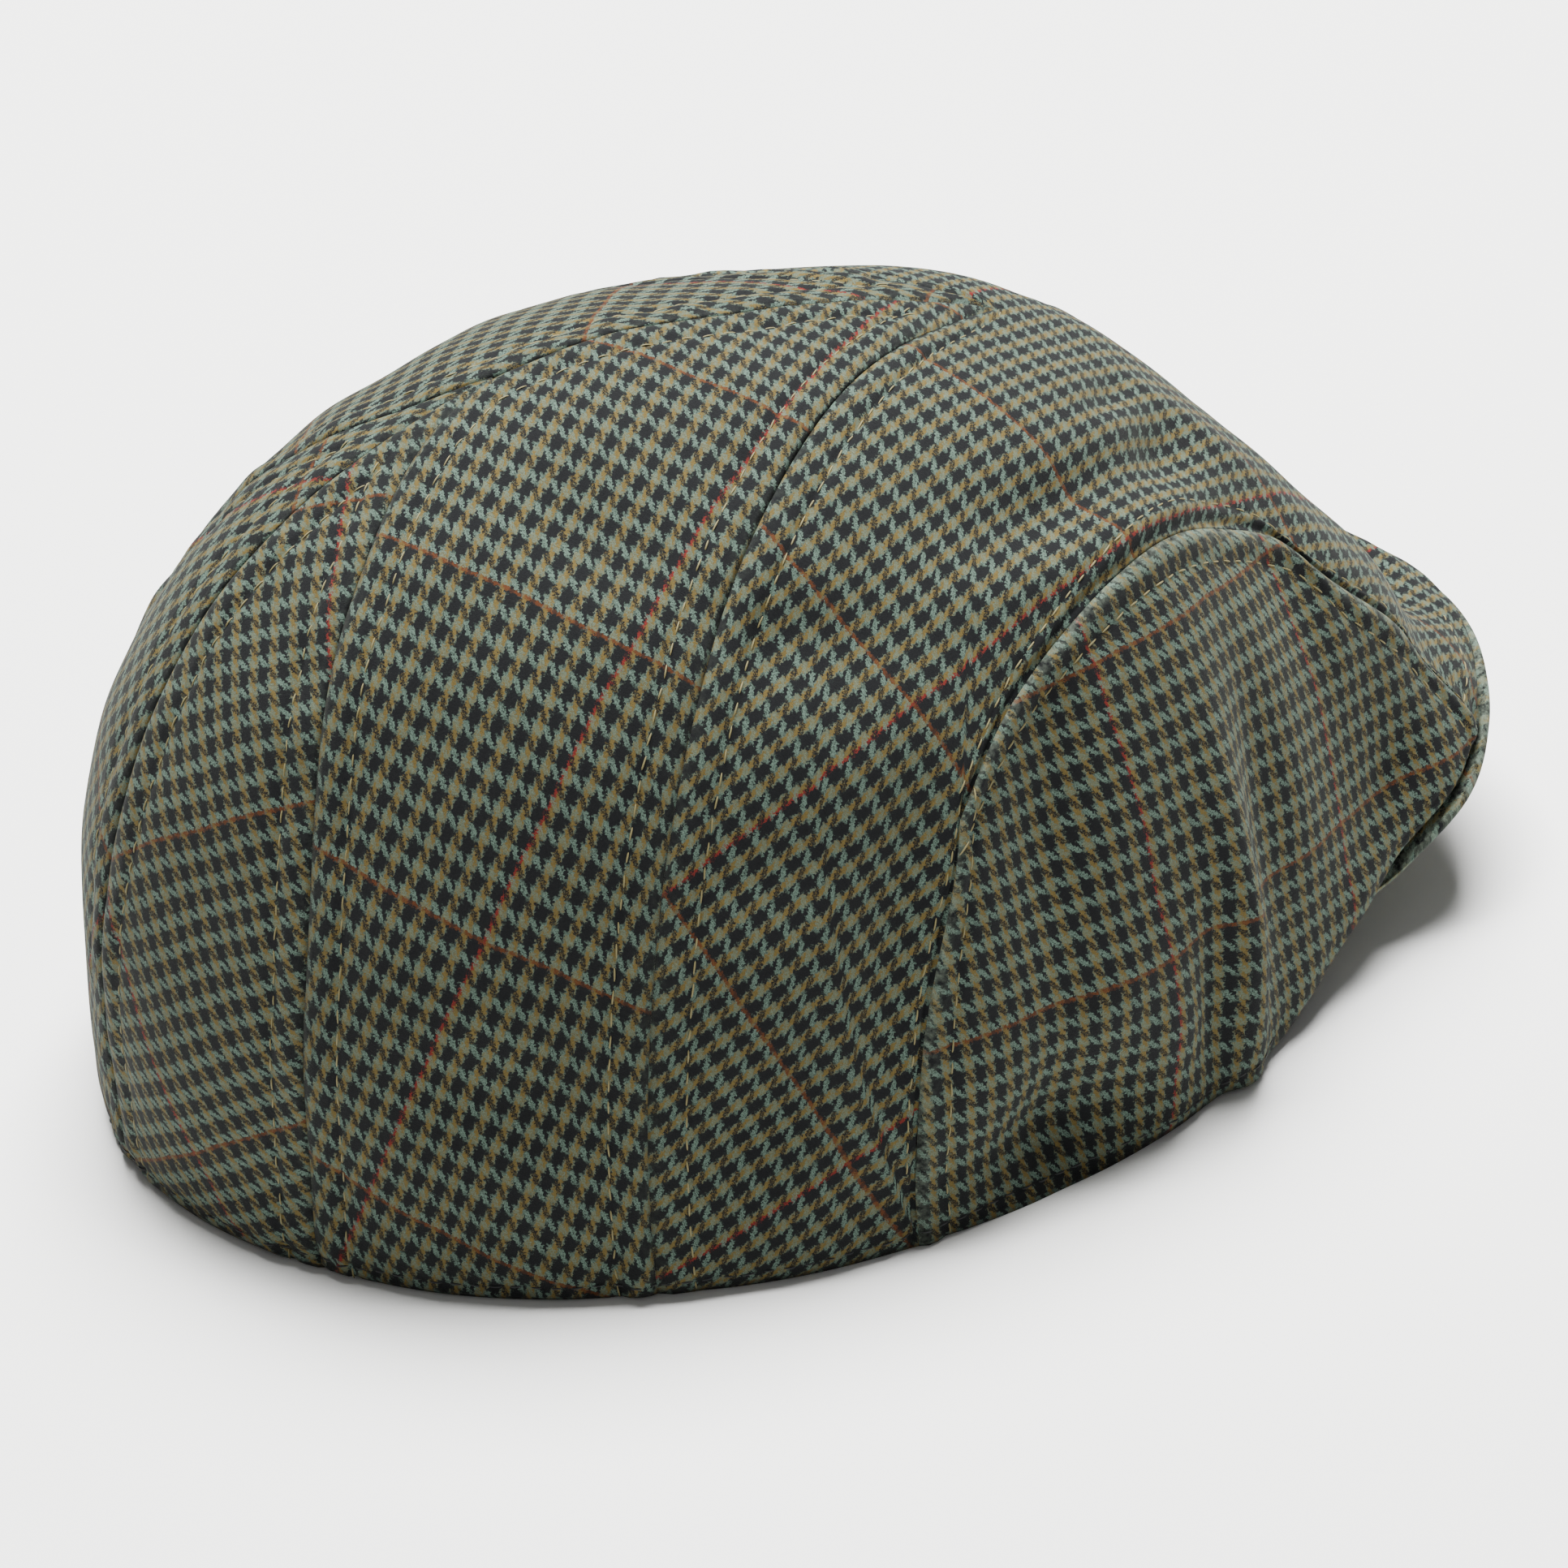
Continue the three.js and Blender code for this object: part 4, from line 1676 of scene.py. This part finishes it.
@dataclass
class Studio:
    """The table, the light and the camera, in metres.

    Attributes:
        aim: The place that the camera's frame is centred on, before it is shifted.
        distance: The camera's distance from it.
        azimuth: Its turn round the cap, with 0 in front of the peak and 90 on the wearer's left.
        elevation: Its height over the table, as an angle.
        roll: How far it is rolled.
        lens: Its focal length in millimetres, on film_width of film.
        film_width: The film's width in millimetres.
        farthest: How far the camera sees.
        centre: How far the frame is shifted right and up, as shares of the distance.
        table_size: The table's length and width.
        paint: The darker and the lighter tone of the table's paint.
        paint_roughness: How matt it is.
        sky: The strength of the even white light from all round.
        lamp_place: Where the softbox hangs.
        lamp_size: Its length and width.
        lamp_power: Its power in watts.
    """

    aim: tuple[float, float, float] = (0.0, -0.0109, 0.055)
    distance: float = 1.0
    azimuth: float = 244.91
    elevation: float = 29.65
    roll: float = -3.94
    lens: float = 140.3
    film_width: float = 36
    farthest: float = 50
    centre: tuple[float, float] = (-0.00991, -0.02218)
    table_size: float = 12
    paint: tuple[str, str] = ("#eeeeec", "#f3f3f1")
    paint_roughness: float = 0.9
    sky: float = 0.23
    lamp_place: tuple[float, float, float] = (0.42, -0.2, 1.6)
    lamp_size: float = 1.0
    lamp_power: float = 156

    def camera(self) -> None:
        """Adds the camera and makes it the scene's."""
        turn, rise, roll = (math.radians(x) for x in (self.azimuth, self.elevation, self.roll))
        right = Vector((math.cos(turn), math.sin(turn), 0))
        level = math.cos(rise)
        ahead = Vector((-math.sin(turn) * level, math.cos(turn) * level, -math.sin(rise)))
        up = right.cross(ahead)
        right, up = (
            right * math.cos(roll) + up * math.sin(roll),
            up * math.cos(roll) - right * math.sin(roll),
        )
        place = Vector(self.aim) - ahead * self.distance
        ahead = (ahead + right * self.centre[0] + up * self.centre[1]).normalized()
        right = ahead.cross(up).normalized()
        up = right.cross(ahead)
        data = bpy.data.cameras.new("camera")
        data.lens, data.sensor_width, data.clip_end = self.lens, self.film_width, self.farthest
        holder = bpy.data.objects.new("camera", data)
        turned = Matrix((right, up, -ahead)).transposed().to_4x4()
        holder.matrix_world = Matrix.Translation(place) @ turned
        bpy.context.scene.collection.objects.link(holder)
        bpy.context.scene.camera = holder

    @staticmethod
    def lamp(name: str, place: tuple[float, float, float], size: float, power: float) -> None:
        """Adds a square soft light that looks at the cap.

        Args:
            name: The light's name.
            place: Where it hangs.
            size: Its length and width.
            power: Its power in watts.
        """
        data = bpy.data.lights.new(name, "AREA")
        data.shape, data.size, data.energy = "SQUARE", size, power
        holder = bpy.data.objects.new(name, data)
        middle_of_cap = Vector((0, 0, 0.06))
        way = middle_of_cap - Vector(place)
        holder.location = place
        holder.rotation_euler = way.to_track_quat("-Z", "Y").to_euler()
        bpy.context.scene.collection.objects.link(holder)

    def build(self) -> None:
        """Adds the table, the lights and the camera."""
        bpy.ops.object.select_all(action="DESELECT")
        bpy.ops.mesh.primitive_plane_add(size=self.table_size)
        table = bpy.context.active_object
        table.name = "table"
        # A board rolled with matt white paint. The roller leaves it a little uneven in tone, and with no
        # gloss it shows the cap's soft shadow and nothing else.
        material = bpy.data.materials.new("matt white table")
        material.use_nodes = True
        nodes = Nodes(material.node_tree)
        shader = material.node_tree.nodes["Principled BSDF"]
        place = nodes.add("ShaderNodeTexCoord").outputs["Object"]
        clouds = nodes.noise(place, 3.0, 2.0).outputs[0]
        tone = nodes.mix(clouds, *(linear(tone) for tone in self.paint))
        nodes.tree.links.new(tone, shader.inputs["Base Color"])
        shader.inputs["Roughness"].default_value = self.paint_roughness
        table.data.materials.append(material)
        world = bpy.context.scene.world or bpy.data.worlds.new("studio")
        bpy.context.scene.world = world
        world.use_nodes = True
        sky = world.node_tree.nodes["Background"]
        sky.inputs["Color"].default_value = (1, 1, 1, 1)
        sky.inputs["Strength"].default_value = self.sky
        self.lamp("overhead softbox", self.lamp_place, self.lamp_size, self.lamp_power)
        self.camera()


def main() -> None:
    """Builds the cap and its studio."""
    Cap().build()
    Studio().build()


if __name__ == "__main__":
    main()
